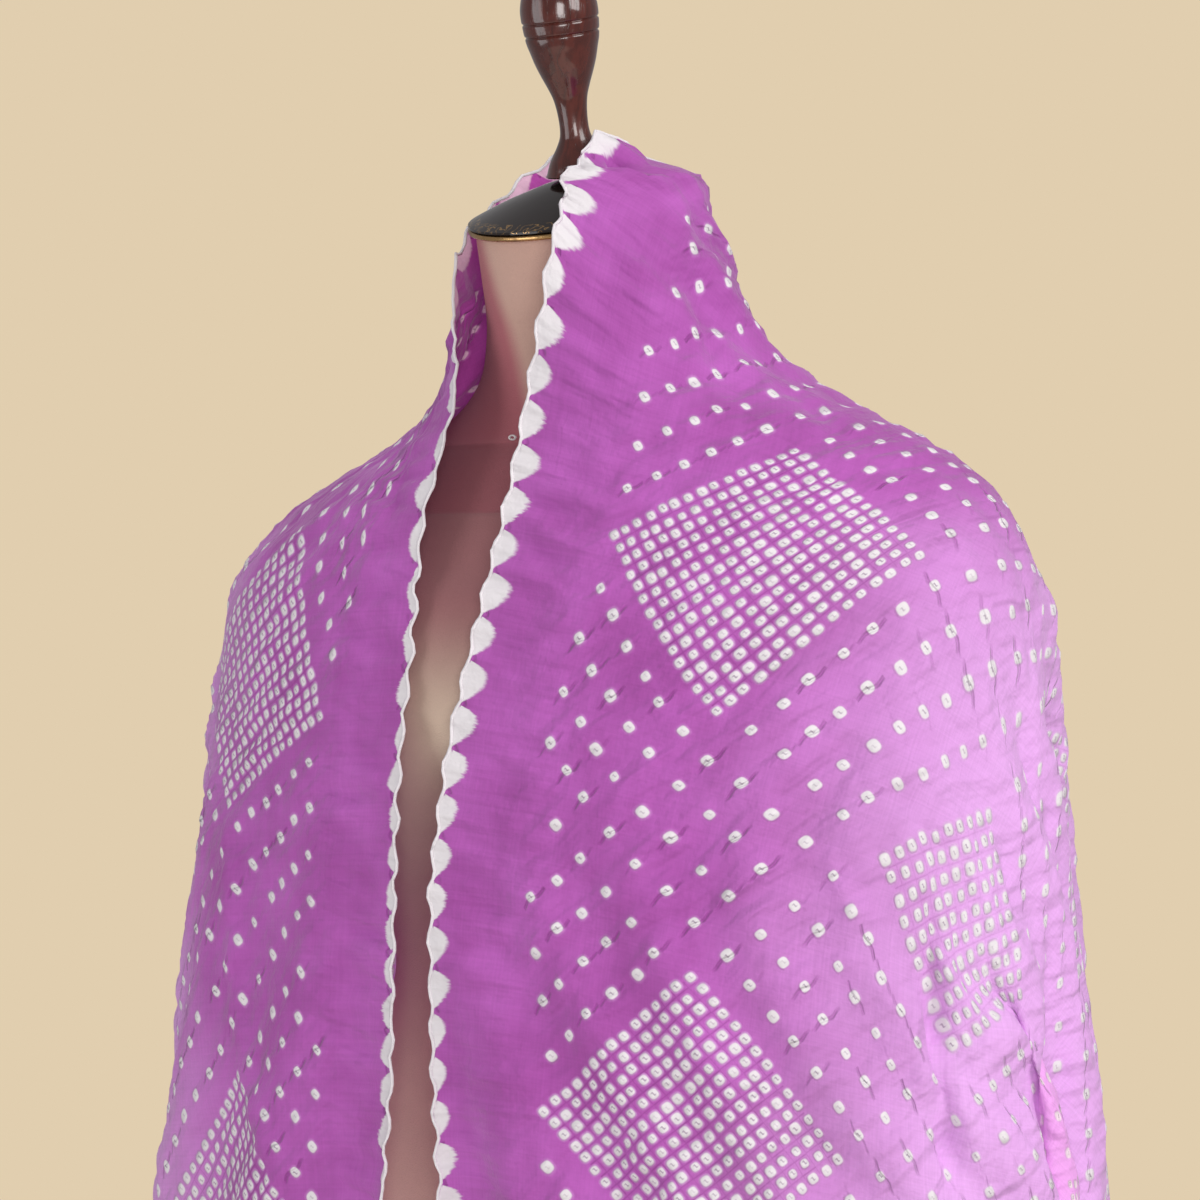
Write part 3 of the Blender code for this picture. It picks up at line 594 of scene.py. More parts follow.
class Settle:
    """Lets a grid of cloth points hang and lie on the form under its own weight."""

    def __init__(self, drape):
        self.drape = drape
        self.form = Lofted(FORM, FORM)
        self.line = Lofted(DRAPE_BODY + DRAPE_LEFT_COLLAR, DRAPE_BODY + DRAPE_RIGHT_COLLAR)
        self.pinned = drape.half_neck + PINNED_PAST_NECK

    @staticmethod
    def keep_apart(points, weights, first, second, rest, strength):
        """Moves pairs of points towards their distance at rest."""
        gap = points[second] - points[first]
        length = np.sqrt((gap * gap).sum(-1)) + 1e-12
        total = weights[first] + weights[second]
        share = np.where(total > 0, (length - rest) / length * strength / np.maximum(total, 1e-9), 0)
        points[first] += gap * (share * weights[first])[..., None]
        points[second] -= gap * (share * weights[second])[..., None]

    def keep_lengths(self, points, weights, cell, bend):
        """One pass over the threads, the diagonals and the stiffness between next neighbours."""
        columns, rows = points.shape[:2]
        every = slice(None)
        low, high = slice(0, rows - 1), slice(1, rows)
        diagonal = cell * math.sqrt(2)

        def pairs(count, start, skip, stride):
            number = len(range(start, count - skip, stride))
            end = start + stride * number
            return slice(start, end, stride), slice(start + skip, end + skip, stride)

        for start in (0, 1):
            a, b = pairs(columns, start, 1, 2)
            self.keep_apart(points, weights, (a, every), (b, every), cell, 1.0)
        for start in (0, 1):
            a, b = pairs(rows, start, 1, 2)
            self.keep_apart(points, weights, (every, a), (every, b), cell, 1.0)
        for start in (0, 1):
            a, b = pairs(columns, start, 1, 2)
            self.keep_apart(points, weights, (a, low), (b, high), diagonal, SHEAR)
            self.keep_apart(points, weights, (a, high), (b, low), diagonal, SHEAR)
        for start in range(4):
            a, b = pairs(columns, start, 2, 4)
            self.keep_apart(points, weights, (a, every), (b, every), cell * 2, bend)
            a, b = pairs(rows, start, 2, 4)
            self.keep_apart(points, weights, (every, a), (every, b), cell * 2, bend)

    def off_form(self, points):
        """Pushes points out of the torso and the neck, and says which were touched."""
        top = TILTED_FORM_UP_TO if self.form.tilted else FORM_UP_TO
        near = (points[..., 2] > FORM_FROM) & (points[..., 2] < top)
        picked = points[near]
        inside = self.form.depth(picked, REST_CLEAR) < 1
        hit = np.zeros(points.shape[:-1], bool)
        if inside.any():
            moved = picked[inside]
            for _ in range(2):
                depth, slope = self.form.slope(moved, REST_CLEAR, (0, 1, 2))
                size = (slope * slope).sum(-1)
                step = np.minimum(np.clip(1 - depth, 0, None) / np.maximum(size, 1e-9),
                                  FORM_PUSH / np.sqrt(np.maximum(size, 1e-12)))
                moved = moved + slope * step[..., None]
            picked[inside] = moved
            points[near] = picked
            hit[near] = inside
        return hit

    @staticmethod
    def off_fittings(points, ring=0.0):
        """Pushes points off the neck cap's dome, which begins above the ring, and the finial."""
        near = (points[..., 2] > FITTINGS_FROM) & (np.abs(points[..., 0]) < FITTINGS_WITHIN)
        picked = points[near]
        foot = up_the_slope(0.0)
        height, aside = along_axis(picked, foot, CAP_SLOPE)
        rise = np.where(height > ring, height - ring, np.minimum(height, 0))
        dome = np.where(height > 0, RING_HEIGHT + CAP_HEIGHT + REST_CLEAR - ring, UNDER_CAP)
        wide = np.linalg.norm(aside, axis=1) / (CAP_RADIUS + REST_CLEAR)
        depth = (wide ** CAP_SQUARENESS + np.abs(rise / dome) ** CAP_SQUARENESS) ** (1 / CAP_SQUARENESS)
        inside = depth < 1
        picked[inside] = foot + (picked[inside] - foot) / np.maximum(depth[inside], 0.3)[:, None]
        height, aside = along_axis(picked, finial_foot(), FINIAL_LEAN)
        distance = np.maximum(np.linalg.norm(aside, axis=1), 1e-6)
        girth = np.interp(height, [turn.height for turn in FINIAL], [turn.radius for turn in FINIAL])
        girth = girth + REST_CLEAR
        inside = (distance < girth) & (height > -0.004) & (height < FINIAL[-1].height)
        picked[inside] += aside[inside] * ((girth - distance) / distance)[inside, None]
        points[near] = picked

    def hold_line(self, points):
        """Keeps the front and the sides on the drape's line and lets the back fold."""
        band = (points[..., 2] > LINE_ABOVE) & (points[..., 2] < LINE_UP_TO)
        picked = points[band]
        height = picked[:, 2]
        # Round to the back the cloth may fold out below 1.22 m and in below 1.30 m, and
        # below the waist the folds begin nearer the side.
        angle = np.arctan2(picked[:, 1] + 0.01, np.abs(picked[:, 0]) * 0.6)
        under = np.clip((1.12 - height) / 0.15, 0, 1)
        free_out = np.clip((angle - 0.5) / 0.4, 0, 1) * np.clip((1.22 - height) / 0.1, 0, 1)
        free_in = np.clip((angle - 0.45 + 0.55 * under) / 0.5, 0, 1) * np.clip((1.30 - height) / 0.08, 0, 1)
        low = np.clip((0.95 - height) / 0.3, 0, 1)
        shells = ((-1, SHELL + FULL_BACK * free_out), (1, -(SLACK + DEEP_BACK * free_in + DEEP_LOW * low)))
        for way, grow in shells:
            depth, slope = self.line.slope(picked, grow, (0, 1))
            size = (slope * slope).sum(-1)
            step = np.minimum(np.clip((1 - depth) * way, 0, None) / np.maximum(size, 1e-9),
                              LINE_PUSH / np.sqrt(np.maximum(size, 1e-12))) * 0.5
            picked[:, :2] += slope * (step * way)[:, None]
        points[band] = picked

    @staticmethod
    def hold_view(points):
        """Keeps the collar's crest and the near side inside their outlines in the view above."""
        across = points @ ACROSS
        crest = np.interp(across, *zip(*COLLAR_CREST)) - UNDER_CREST
        high = (points[..., 2] > crest) & (points[..., 2] > CREST_ABOVE)
        points[..., 2] -= np.where(high, (points[..., 2] - crest) * DRAW_BACK, 0)
        side = np.interp(points[..., 2], *zip(*NEAR_SIDE))
        wide = (across > side) & (points[..., 2] < NEAR_SIDE_BELOW)
        points -= np.where(wide, (across - side) * DRAW_BACK, 0)[..., None] * ACROSS

    def hold_front_edges(self, points, u):
        """Draws the front edges towards their given lines."""
        for side, rows in ((1, LEFT_FRONT_EDGE), (-1, RIGHT_FRONT_EDGE)):
            rows = sorted(rows, key=lambda row: row.z)
            height = points[:, 0, 2]
            here = (u * side > self.pinned) & (height > LINE_ABOVE) & (height < FRONT_EDGES_BELOW)
            for axis, name in ((0, "x"), (1, "y")):
                given = [getattr(row, name) for row in rows]
                wanted = np.interp(height[here], [row.z for row in rows], given)
                points[here, 0, axis] += (wanted - points[here, 0, axis]) * DRAW_BACK

    def clear(self, points):
        """Last passes: below the crest, and off the form as it tilts and off its fittings."""
        self.form.tilted = True
        for _ in range(5):
            self.hold_view(points)
            self.off_fittings(points, RING_HEIGHT)
            self.off_form(points)

    def run(self, points, u, stage):
        """Lets the points fall step by step; the edge round the neck stays pinned."""
        weights = np.ones(points.shape[:2])
        pins = np.abs(u) <= self.pinned
        weights[pins, 0] = 0
        points[pins, 0] = self.drape.edge_points(u[pins])
        loose = (weights > 0)[..., None]
        fall = np.array([0, 0, -stage.gravity * TIME_STEP ** 2])
        keep_speed = KEEP_SPEED if stage.speed_limit > 0.001 else QUIET_KEEP_SPEED
        before = points.copy()
        for _ in range(stage.steps):
            speed = (points - before) * keep_speed
            size = np.sqrt((speed * speed).sum(-1, keepdims=True))
            speed *= np.minimum(1, stage.speed_limit / np.maximum(size, 1e-9))
            before = points.copy()
            points = points + np.where(loose, speed + fall, 0)
            self.keep_lengths(points, weights, stage.cell, stage.bend)
            unguided = points.copy()
            self.hold_front_edges(points, u)
            self.hold_line(points)
            self.hold_view(points)
            before += points - unguided
            self.off_fittings(points)
            hit = self.off_form(points)
            points[hit] += (before[hit] - points[hit]) * STICK
            before[hit] = points[hit]
            self.off_form(points)
        return points


def averaged(points, passes):
    """Half way to the average of the neighbours, keeping the edges in their own lines."""
    for _ in range(passes):
        even = points.copy()
        even[1:-1, 1:-1] = (points[:-2, 1:-1] + points[2:, 1:-1] + points[1:-1, :-2] + points[1:-1, 2:]) / 4
        even[1:-1, -1] = (points[:-2, -1] + points[2:, -1]) / 2
        for end in (0, -1):
            even[end, 1:-1] = (points[end, :-2] + points[end, 2:]) / 2
        points = (points + even) / 2
    return points


def cloth_places(length, width, cell):
    return (np.linspace(-length / 2, length / 2, round(length / cell) + 1),
            np.linspace(0, width, round(width / cell) + 1))


def settled_cloth(length, width, cell):
    """The hanging cloth as a grid of points, with its flat coordinates."""
    drape = Drape()
    settle = Settle(drape)
    u, v = cloth_places(length, width, SETTLING[0].cell)
    points = drape.place(*np.meshgrid(u, v, indexing="ij"))
    points[:, 1:] += np.random.default_rng(2).normal(0, 0.001, points.shape)[:, 1:]
    for stage in SETTLING:
        finer_u, finer_v = cloth_places(length, width, stage.cell)
        if len(finer_u) != len(u):
            points = resample(points, u, v, finer_u, finer_v)
            u, v = finer_u, finer_v
        points = averaged(settle.run(points, u, stage), stage.smoothing)
    fine_u, fine_v = cloth_places(length, width, cell)
    fine = resample(points, u, v, fine_u, fine_v)
    settle.clear(fine)
    return fine, fine_u, fine_v, settle


# ---------------------------------------------------------------- the pattern on the flat cloth


def spline_kernel(distance):
    return np.where(distance > 0, distance ** 2 * np.log(np.maximum(distance, 1e-12)), 0)


def pattern_places(points):
    """Pattern coordinates of flat cloth points, pulled as the tying has pulled the cloth."""
    known = np.array([[pull.u, pull.v] for pull in PULLS])
    wanted = np.array([[pull.along, pull.inward] for pull in PULLS])
    count = len(known)
    system = np.zeros((count + 3, count + 3))
    system[:count, :count] = spline_kernel(np.linalg.norm(known[:, None] - known[None], axis=-1))
    system[:count, :count] += np.eye(count) * 1e-5
    system[:count, count] = 1
    system[:count, count + 1:] = known
    system[count:, :count] = system[:count, count:].T
    target = np.zeros((count + 3, 2))
    target[:count] = wanted - known
    solution = np.linalg.solve(system, target)
    flat = points.reshape(-1, 2)
    shift = spline_kernel(np.linalg.norm(flat[:, None] - known[None], axis=-1)) @ solution[:count]
    shift += solution[count] + flat @ solution[count + 1:]
    return points + shift.reshape(points.shape)


def edge_faded(places, flat, width):
    """Keeps the pattern the same depth in from both long borders."""
    low = 1 - smooth_step(flat[..., 1], 0.0, PLAIN_BAND)
    high = 1 - smooth_step(width - flat[..., 1], 0.0, PLAIN_BAND)
    inward = places[..., 1]
    inward = inward + (flat[..., 1] - inward) * low
    places[..., 1] = inward + (PATTERN_WIDTH - width + flat[..., 1] - inward) * high
    return places


def band_cells(value):
    """The whole number of the nearest coarse dot along one diagonal, and how far it is."""
    turn = np.round(value / BAND_PERIOD)
    near = value - turn * BAND_PERIOD
    reach = np.abs(near)
    inside = np.minimum(np.round(reach / BAND_PITCH), BAND_DOTS)
    outside = BAND_DOTS + 1 + np.clip(np.round((reach - STREET_FROM) / STREET_PITCH), 0, 1)
    split = (BAND_DOTS * BAND_PITCH + STREET_FROM) / 2
    cell = np.where(reach < split, inside, outside)
    place = np.where(reach < split, inside * BAND_PITCH, STREET_FROM + (cell - BAND_DOTS - 1) * STREET_PITCH)
    centre = turn * BAND_PERIOD + np.sign(near) * place
    return turn, cell, centre


def coarse_domes(places):
    """Height of the puckers that the coarse ties leave, at each pattern place."""
    along = places[..., 0] - FIRST_SQUARE
    across = places[..., 1] - ROW_IN
    first = (along + across) / math.sqrt(2)
    second = (across - along) / math.sqrt(2)
    turn_first, cell_first, centre_first = band_cells(first)
    turn_second, cell_second, centre_second = band_cells(second)
    centre_in = (centre_first + centre_second) / math.sqrt(2) + ROW_IN
    row = turn_first + turn_second
    in_square = (cell_first <= BAND_DOTS) & (cell_second <= BAND_DOTS) & (row >= 0) & (row <= 4)
    tied = (centre_in > PLAIN_BAND) & (centre_in < PATTERN_WIDTH - PLAIN_BAND) & ~in_square
    distance = np.hypot(first - centre_first, second - centre_second)
    return np.where(tied, np.exp(-(distance / PUCKER_SPREAD) ** 2), 0)


def crinkles(flat, places, width):
    """Fine unevenness of cloth that has been tied, in metres along its normal."""
    random = np.random.default_rng(11)
    u, v = flat[..., 0], flat[..., 1]
    inward = np.minimum(v, width - v)
    first = (places[..., 0] + places[..., 1]) / math.sqrt(2)
    second = (places[..., 1] - places[..., 0]) / math.sqrt(2)
    furrows = np.zeros(u.shape)
    for _ in range(14):             # short furrows square to the border
        wave = random.uniform(0.012, 0.028)
        sway = random.uniform(-0.5, 0.5)
        phase = random.uniform(0, 2 * math.pi)
        drift = np.sin(u * random.uniform(6, 14) + random.uniform(0, 6)) * 1.5
        furrows += np.sin((u + sway * v) * 2 * math.pi / wave + drift + phase)
    pulls = np.zeros(u.shape)
    turned_pull = (v > TURN_PULL) & (v < width - TURN_PULL)
    for _ in range(20):             # pulls between the ties, along one diagonal or the other
        wave = random.uniform(0.014, 0.036)
        tilt = random.normal(0.0, 0.22)
        phase = random.uniform(0, 2 * math.pi)
        sweep = np.sin(first * random.uniform(5, 25) + second * random.uniform(5, 25)
                       + random.uniform(0, 6)) * 2.0
        level = np.where(turned_pull, second + first * tilt, first + second * tilt)
        pulls += np.sin(level * 2 * math.pi / wave + sweep + phase)
    near_border = np.exp(-((inward - 0.028) / 0.026) ** 2)
    return FURROW_HEIGHT * furrows * near_border + PULL_HEIGHT * pulls * smooth_step(inward, 0.03, 0.08)


# Creases pressed or pulled into the cloth: from and to flat places (u, v), the height
# of the crease (below zero for a furrow) and how wide it is.
Crease = namedtuple("Crease", "from_u from_v to_u to_v height width")
CREASES = [
    Crease(0.306, 0.010, 0.302, 0.064, -0.0022, 0.0022),    # from the border to the first dot
    Crease(0.308, 0.012, 0.305, 0.050, 0.0012, 0.0026),
    Crease(0.067, 0.010, 0.073, 0.024, -0.0120, 0.0055),    # the curl behind the collar's peak
    Crease(0.062, 0.002, 0.060, 0.024, 0.0035, 0.0060),
    Crease(0.083, 0.071, 0.204, 0.114, -0.0040, 0.0100),    # down the side of the neck
    Crease(0.150, 0.128, 0.193, 0.162, -0.0030, 0.0080),
    Crease(-0.251, 0.041, -0.304, 0.022, -0.0035, 0.0080),
    Crease(-0.443, 0.145, -0.584, 0.123, 0.0035, 0.0070),   # down the near fold of the far panel
    Crease(-0.584, 0.123, -0.638, 0.076, 0.0030, 0.0070),
    Crease(0.400, 0.276, 0.560, 0.300, -0.0100, 0.0060),    # beside the elbow
    Crease(0.453, 0.330, 0.494, 0.316, 0.0040, 0.0080),
    Crease(0.345, 0.192, 0.364, 0.220, -0.0016, 0.0030),
    Crease(0.354, 0.079, 0.328, 0.105, -0.0016, 0.0030),
    Crease(0.384, 0.108, 0.348, 0.132, -0.0015, 0.0030),
]


def creased(flat):
    height = np.zeros(flat.shape[:-1])
    for crease in CREASES:
        start = np.array([crease.from_u, crease.from_v])
        run = np.array([crease.to_u, crease.to_v]) - start
        along = np.clip((flat - start) @ run / (run @ run), 0, 1)
        distance = np.linalg.norm(flat - start - along[..., None] * run, axis=-1)
        taper = np.sin(math.pi * np.clip(along, 0.02, 0.98)) ** 0.5
        height += crease.height * taper * np.exp(-(distance / crease.width) ** 2)
    return height


def grid_normals(points):
    """Normals that point away from the form."""
    du = np.gradient(points, axis=0)
    dv = np.gradient(points, axis=1)
    normal = np.cross(du, dv)
    normal /= np.maximum(np.linalg.norm(normal, axis=-1), 1e-12)[..., None]
    on_left_front = normal[points.shape[0] * 3 // 4, 10]
    return normal if on_left_front[1] < 0 else -normal


def scalloped(points, u):
    """Draws the long edges in a little between the half moons."""
    waves = MOON_DRAW * np.cos(2 * math.pi * (u - FIRST_SQUARE) / MOON_PITCH)
    for edge, inner in ((0, 1), (-1, -2)):
        inward = points[:, inner] - points[:, edge]
        inward /= np.maximum(np.linalg.norm(inward, axis=-1), 1e-9)[:, None]
        points[:, edge] += inward * (MOON_DRAW - waves)[:, None]
    return points


# ---------------------------------------------------------------- meshes


def deselect():
    if bpy.context.object and bpy.context.object.mode != "OBJECT":
        bpy.ops.object.mode_set(mode="OBJECT")
    bpy.ops.object.select_all(action="DESELECT")


def pick(piece):
    """Makes this piece the only one selected, and the active one."""
    deselect()
    piece.select_set(True)
    bpy.context.view_layer.objects.active = piece


def named(piece, name):
    piece.name = name
    piece.data.name = name
    return piece


def mesh_object(name, vertices, faces):
    mesh = bpy.data.meshes.new(name)
    mesh.from_pydata([tuple(vertex) for vertex in vertices], [], faces)
    mesh.update()
    piece = bpy.data.objects.new(name, mesh)
    bpy.context.scene.collection.objects.link(piece)
    mesh.shade_smooth()
    return piece


def write_map(mesh, name, places):
    """Writes one map from places given by vertex."""
    layer = mesh.uv_layers.new(name=name)
    corners = np.empty(len(mesh.loops), np.int32)
    mesh.loops.foreach_get("vertex_index", corners)
    layer.data.foreach_set("uv", np.asarray(places, float)[corners].ravel())


def grid_faces(columns, rows, flip):
    index = np.arange(columns * rows).reshape(columns, rows)
    quads = np.stack([index[:-1, :-1], index[1:, :-1], index[1:, 1:], index[:-1, 1:]], -1).reshape(-1, 4)
    return (quads[:, ::-1] if flip else quads).tolist()


NEVER_ALONG = np.array([0.31, 0.43, 0.85])      # a direction that the cloth's edges don't take
HEM_SIDES = 6


def tube_along(line, radius, sides):
    """Rings of a closed tube that follows a closed line."""
    heading = np.roll(line, -1, axis=0) - np.roll(line, 1, axis=0)
    heading /= np.linalg.norm(heading, axis=1)[:, None]
    side = np.cross(heading, NEVER_ALONG)
    side /= np.maximum(np.linalg.norm(side, axis=1), 1e-9)[:, None]
    other = np.cross(heading, side)
    angle = np.arange(sides) * 2 * math.pi / sides
    rings = (line[:, None] + radius * (np.cos(angle)[None, :, None] * side[:, None]
                                       + np.sin(angle)[None, :, None] * other[:, None]))
    index = np.arange(len(line) * sides).reshape(len(line), sides)
    ahead, turned = np.roll(index, -1, axis=0), np.roll(index, -1, axis=1)
    faces = np.stack([index, turned, np.roll(ahead, -1, axis=1), ahead], -1).reshape(-1, 4)
    return rings.reshape(-1, 3), faces.tolist()


def make_cloth(sizes):
    cell = sizes.mesh_cell
    length, width = sizes.cloth_length, sizes.cloth_width
    points, u, v, settle = settled_cloth(length, width, cell)
    flat = np.stack(np.meshgrid(u, v, indexing="ij"), -1)
    places = edge_faded(pattern_places(flat), flat, width)
    outward = grid_normals(points)
    fine = coarse_domes(places) * sizes.pucker + crinkles(flat, places, width) + creased(flat)
    points = scalloped(points + outward * fine[..., None], u)
    settle.clear(points)
    normal = np.cross(points[1, 0] - points[0, 0], points[0, 1] - points[0, 0])
    faces = grid_faces(len(u), len(v), bool(normal @ outward[0, 0] < 0))
    cloth = mesh_object("bandhani_cloth", points.reshape(-1, 3), faces)
    write_map(cloth.data, "flat", flat.reshape(-1, 2))
    write_map(cloth.data, "pattern", places.reshape(-1, 2))

    line, line_places = [np.concatenate([grid[:, 0], grid[-1, 1:], grid[-2::-1, -1], grid[0, -2:0:-1]])
                         for grid in (points, places)]
    rings, faces = tube_along(line, sizes.hem_radius, HEM_SIDES)
    hem = mesh_object("rolled_hem", rings, faces)
    for name in ("flat", "pattern"):        # too thin for places of its own on the flat cloth
        write_map(hem.data, name, np.repeat(line_places, HEM_SIDES, axis=0))
    pick(hem)
    bpy.ops.object.mode_set(mode="EDIT")
    bpy.ops.mesh.select_all(action="SELECT")
    bpy.ops.mesh.normals_make_consistent(inside=False)
    deselect()
    return cloth, hem


def start_disc(name, radius, vertices, place):
    """A filled disc to extrude from, in edit mode and all selected."""
    deselect()
    bpy.ops.mesh.primitive_circle_add(vertices=vertices, radius=radius, fill_type="NGON", location=(0, 0, 0))
    piece = named(bpy.context.object, name)
    bpy.ops.object.mode_set(mode="EDIT")
    bpy.ops.mesh.select_all(action="SELECT")
    bpy.ops.transform.translate(value=(0, 0, place))
    return piece


def close_piece(piece, crease_angle):
    """Leaves edit mode with the faces outwards and smooth but for sharp turns."""
    bpy.ops.mesh.select_all(action="SELECT")
    bpy.ops.mesh.normals_make_consistent(inside=False)
    bpy.ops.object.mode_set(mode="OBJECT")
    bpy.ops.object.shade_smooth_by_angle(angle=crease_angle)
    return piece


def turned(name, profile, vertices=80, crease_angle=math.radians(40)):
    """Turns a profile up from its foot, one ring at a time."""
    piece = start_disc(name, profile[0][0], vertices, profile[0][1])
    radius, height = profile[0]
    for next_radius, next_height in profile[1:]:
        bpy.ops.mesh.extrude_region_move(TRANSFORM_OT_translate={"value": (0, 0, next_height - height)})
        grow = next_radius / radius
        bpy.ops.transform.resize(value=(grow, grow, 1), center_override=(0, 0, next_height))
        radius, height = next_radius, next_height
    return close_piece(piece, crease_angle)


def set_down(piece, foot, lean):
    """Leans a piece to the front, stands it on its foot and makes that its place."""
    pick(piece)
    piece.location = foot
    piece.rotation_euler = (lean, 0, 0)
    bpy.ops.object.transform_apply(location=True, rotation=True, scale=True)
    deselect()
    return piece


def denser(profile, step):
    """The profile with a smooth curve through its rows, a step apart."""
    curve = curve_through([(radius, height) for radius, height in profile], steps=10)
    along = lengths_along(curve)
    even = np.linspace(0, along[-1], max(int(along[-1] / step), 2) + 1)
    return [tuple(float(np.interp(at, along, axis)) for axis in curve.T) for at in even]


# Two thin grooves round the finial's widest part, by height and depth, with a rounded
# band between them.
GROOVES = ((0.0732, 0.0008), (0.0800, 0.0008))
GROOVE_HALF_WIDTH = 0.0006
GROOVE_ROWS = (-0.0010, -0.0006, -0.0003, 0.0, 0.0003, 0.0006, 0.0010)
FINIAL_ROWS_APART = 0.0011
FINIAL_FOOT_ENDS = 0.02     # the rows above it are sorted by height


def finial_profile():
    """The finial's turns, with closer rows where the grooves are cut."""
    smooth = denser(FINIAL, FINIAL_ROWS_APART)
    radii, heights = zip(*smooth)
    close = [at + shift for at, _ in GROOVES for shift in GROOVE_ROWS]
    rows = smooth + [(float(np.interp(height, heights, radii)), height) for height in close]

    def cut(height):
        return sum(deep * math.exp(-((height - at) / GROOVE_HALF_WIDTH) ** 2) for at, deep in GROOVES)

    rows = [(max(radius - cut(height), 0.0015), height) for radius, height in rows]
    foot = [row for row in rows if row[1] <= FINIAL_FOOT_ENDS]
    head = [row for row in rows if row[1] > FINIAL_FOOT_ENDS]
    return foot + sorted(head, key=lambda row: row[1])


def make_finial():
    piece = turned("turned_finial", finial_profile(), vertices=72)
    return set_down(piece, tuple(finial_foot()), FINIAL_LEAN)


def make_neck_cap():
    """A low dome on an upright rim."""
    rim = 0.0016
    rise = [(CAP_RADIUS * math.cos(turn), rim + (CAP_HEIGHT - rim) * (1 - math.cos(turn) ** CAP_ROUNDNESS))
            for turn in np.linspace(0, math.radians(87), 22)]
    profile = [(CAP_RADIUS - 0.0006, 0.0), (CAP_RADIUS, 0.0005)] + rise
    piece = turned("domed_neck_cap", profile, vertices=128)
    return set_down(piece, tuple(up_the_slope(RING_HEIGHT + 2 * GAP)), CAP_SLOPE)


def make_cap_ring():
    """A flat ring with a rounded rim."""
    half = RING_HEIGHT / 2
    bead = [(RING_RADIUS - half + half * math.cos(turn), half + half * math.sin(turn))
            for turn in np.linspace(-math.pi / 2, math.pi / 2, 9)]
    profile = [(RING_RADIUS - 0.006, 0.0)] + bead + [(RING_RADIUS - 0.006, RING_HEIGHT)]
    piece = turned("gilt_cap_ring", profile, vertices=128)
    return set_down(piece, tuple(up_the_slope(GAP)), CAP_SLOPE)


NECK_SEAM = 1.273           # the height of the bead round the foot of the neck
YOKE_EDGE = 1.2365          # the height of the step below it
SEAM_HALF_WIDTH = 0.0016
SEAM_BEAD = 0.0010          # how far the bead stands out
YOKE_STEP = 0.0012
TORSO_SIDES = 128
KNOT_PLACE = (-0.0155, -0.0838, 1.2755)


def torso_levels():
    even = np.linspace(FORM[0].z, FORM[-1].z, 150)
    seams = [at + shift for at in (NECK_SEAM, YOKE_EDGE) for shift in np.linspace(-0.004, 0.004, 9)]
    return np.unique(np.round(np.concatenate([even, seams]), 5))


def make_torso():
    """Rows of the form one above the other, each moved onto its section."""
    table = smooth_table(FORM)
    levels = torso_levels()
    piece = start_disc("padded_dress_form", 0.12, TORSO_SIDES, float(levels[0]))
    for low, high in zip(levels, levels[1:]):
        bpy.ops.mesh.extrude_region_move(TRANSFORM_OT_translate={"value": (0, 0, float(high - low))})
    bpy.ops.object.mode_set(mode="OBJECT")
    places = np.empty(len(piece.data.vertices) * 3)
    piece.data.vertices.foreach_get("co", places)
    places = places.reshape(-1, 3)
    angle = np.arctan2(places[:, 1], places[:, 0])
    shaped = section_points(table, angle, places[:, 2])
    bead = (np.exp(-((places[:, 2] - NECK_SEAM) / SEAM_HALF_WIDTH) ** 2) * SEAM_BEAD
            + YOKE_STEP * smooth_step(YOKE_EDGE - places[:, 2], -0.0012, 0.0012)
            * smooth_step(places[:, 2], YOKE_EDGE - 0.03, YOKE_EDGE))
    outward = np.stack([np.cos(angle), np.sin(angle), np.zeros_like(angle)], -1)
    shaped += outward * bead[:, None]
    piece.data.vertices.foreach_set("co", shaped.ravel())
    piece.data.update()
    pick(piece)
    bpy.ops.object.mode_set(mode="EDIT")
    return close_piece(piece, math.radians(50))


def make_knot():
    """The small white thread knot on the neck seam."""
    deselect()
    bpy.ops.mesh.primitive_torus_add(major_radius=0.0016, minor_radius=0.0007, major_segments=24,
                                     minor_segments=10, location=(0, 0, 0))
    knot = named(bpy.context.object, "seam_knot")
    bpy.ops.object.mode_set(mode="EDIT")
    bpy.ops.mesh.select_all(action="SELECT")
    bpy.ops.transform.resize(value=(1.0, 0.7, 0.8))
    bpy.ops.object.mode_set(mode="OBJECT")
    knot.rotation_euler = (math.radians(80), 0, math.radians(25))
    knot.location = KNOT_PLACE
    bpy.ops.object.transform_apply(location=True, rotation=True, scale=True)
    bpy.ops.object.shade_smooth()
    return knot


def make_pole():
    low, high, radius = POLE_LOW.z, POLE_HIGH.z, POLE_HIGH.x
    profile = [(radius - 0.0006, low), (radius, low + 0.0006), (radius, low + 0.30), (radius, low + 0.60),
               (radius, high - 0.0006), (radius - 0.0006, high)]
    piece = turned("turned_pole", profile, vertices=48)
    return set_down(piece, (0, 0, 0), 0)


def make_base():
    rim, top = BASE_HIGH.x, BASE_HIGH.z
    profile = [(rim - 0.0020, 0.0), (rim - 0.0006, 0.0006), (rim, 0.0020), (rim, 0.0070), (rim, 0.0120),
               (rim - 0.0014, 0.0142), (rim - 0.0060, 0.0160), (0.1620, 0.0176), (0.1500, 0.0190),
               (0.1200, 0.0206), (0.0900, 0.0222), (0.0600, 0.0240), (0.0480, 0.0262), (0.0400, 0.0300),
               (0.0360, 0.0345), (0.0340, 0.0400), (0.0334, 0.0440), (0.0320, 0.0480),
               (0.0300, top - 0.0010), (0.0290, top)]
    piece = turned("turned_base", profile, vertices=128, crease_angle=math.radians(30))
    return set_down(piece, (0, 0, 0), 0)


# ---------------------------------------------------------------- shader nodes


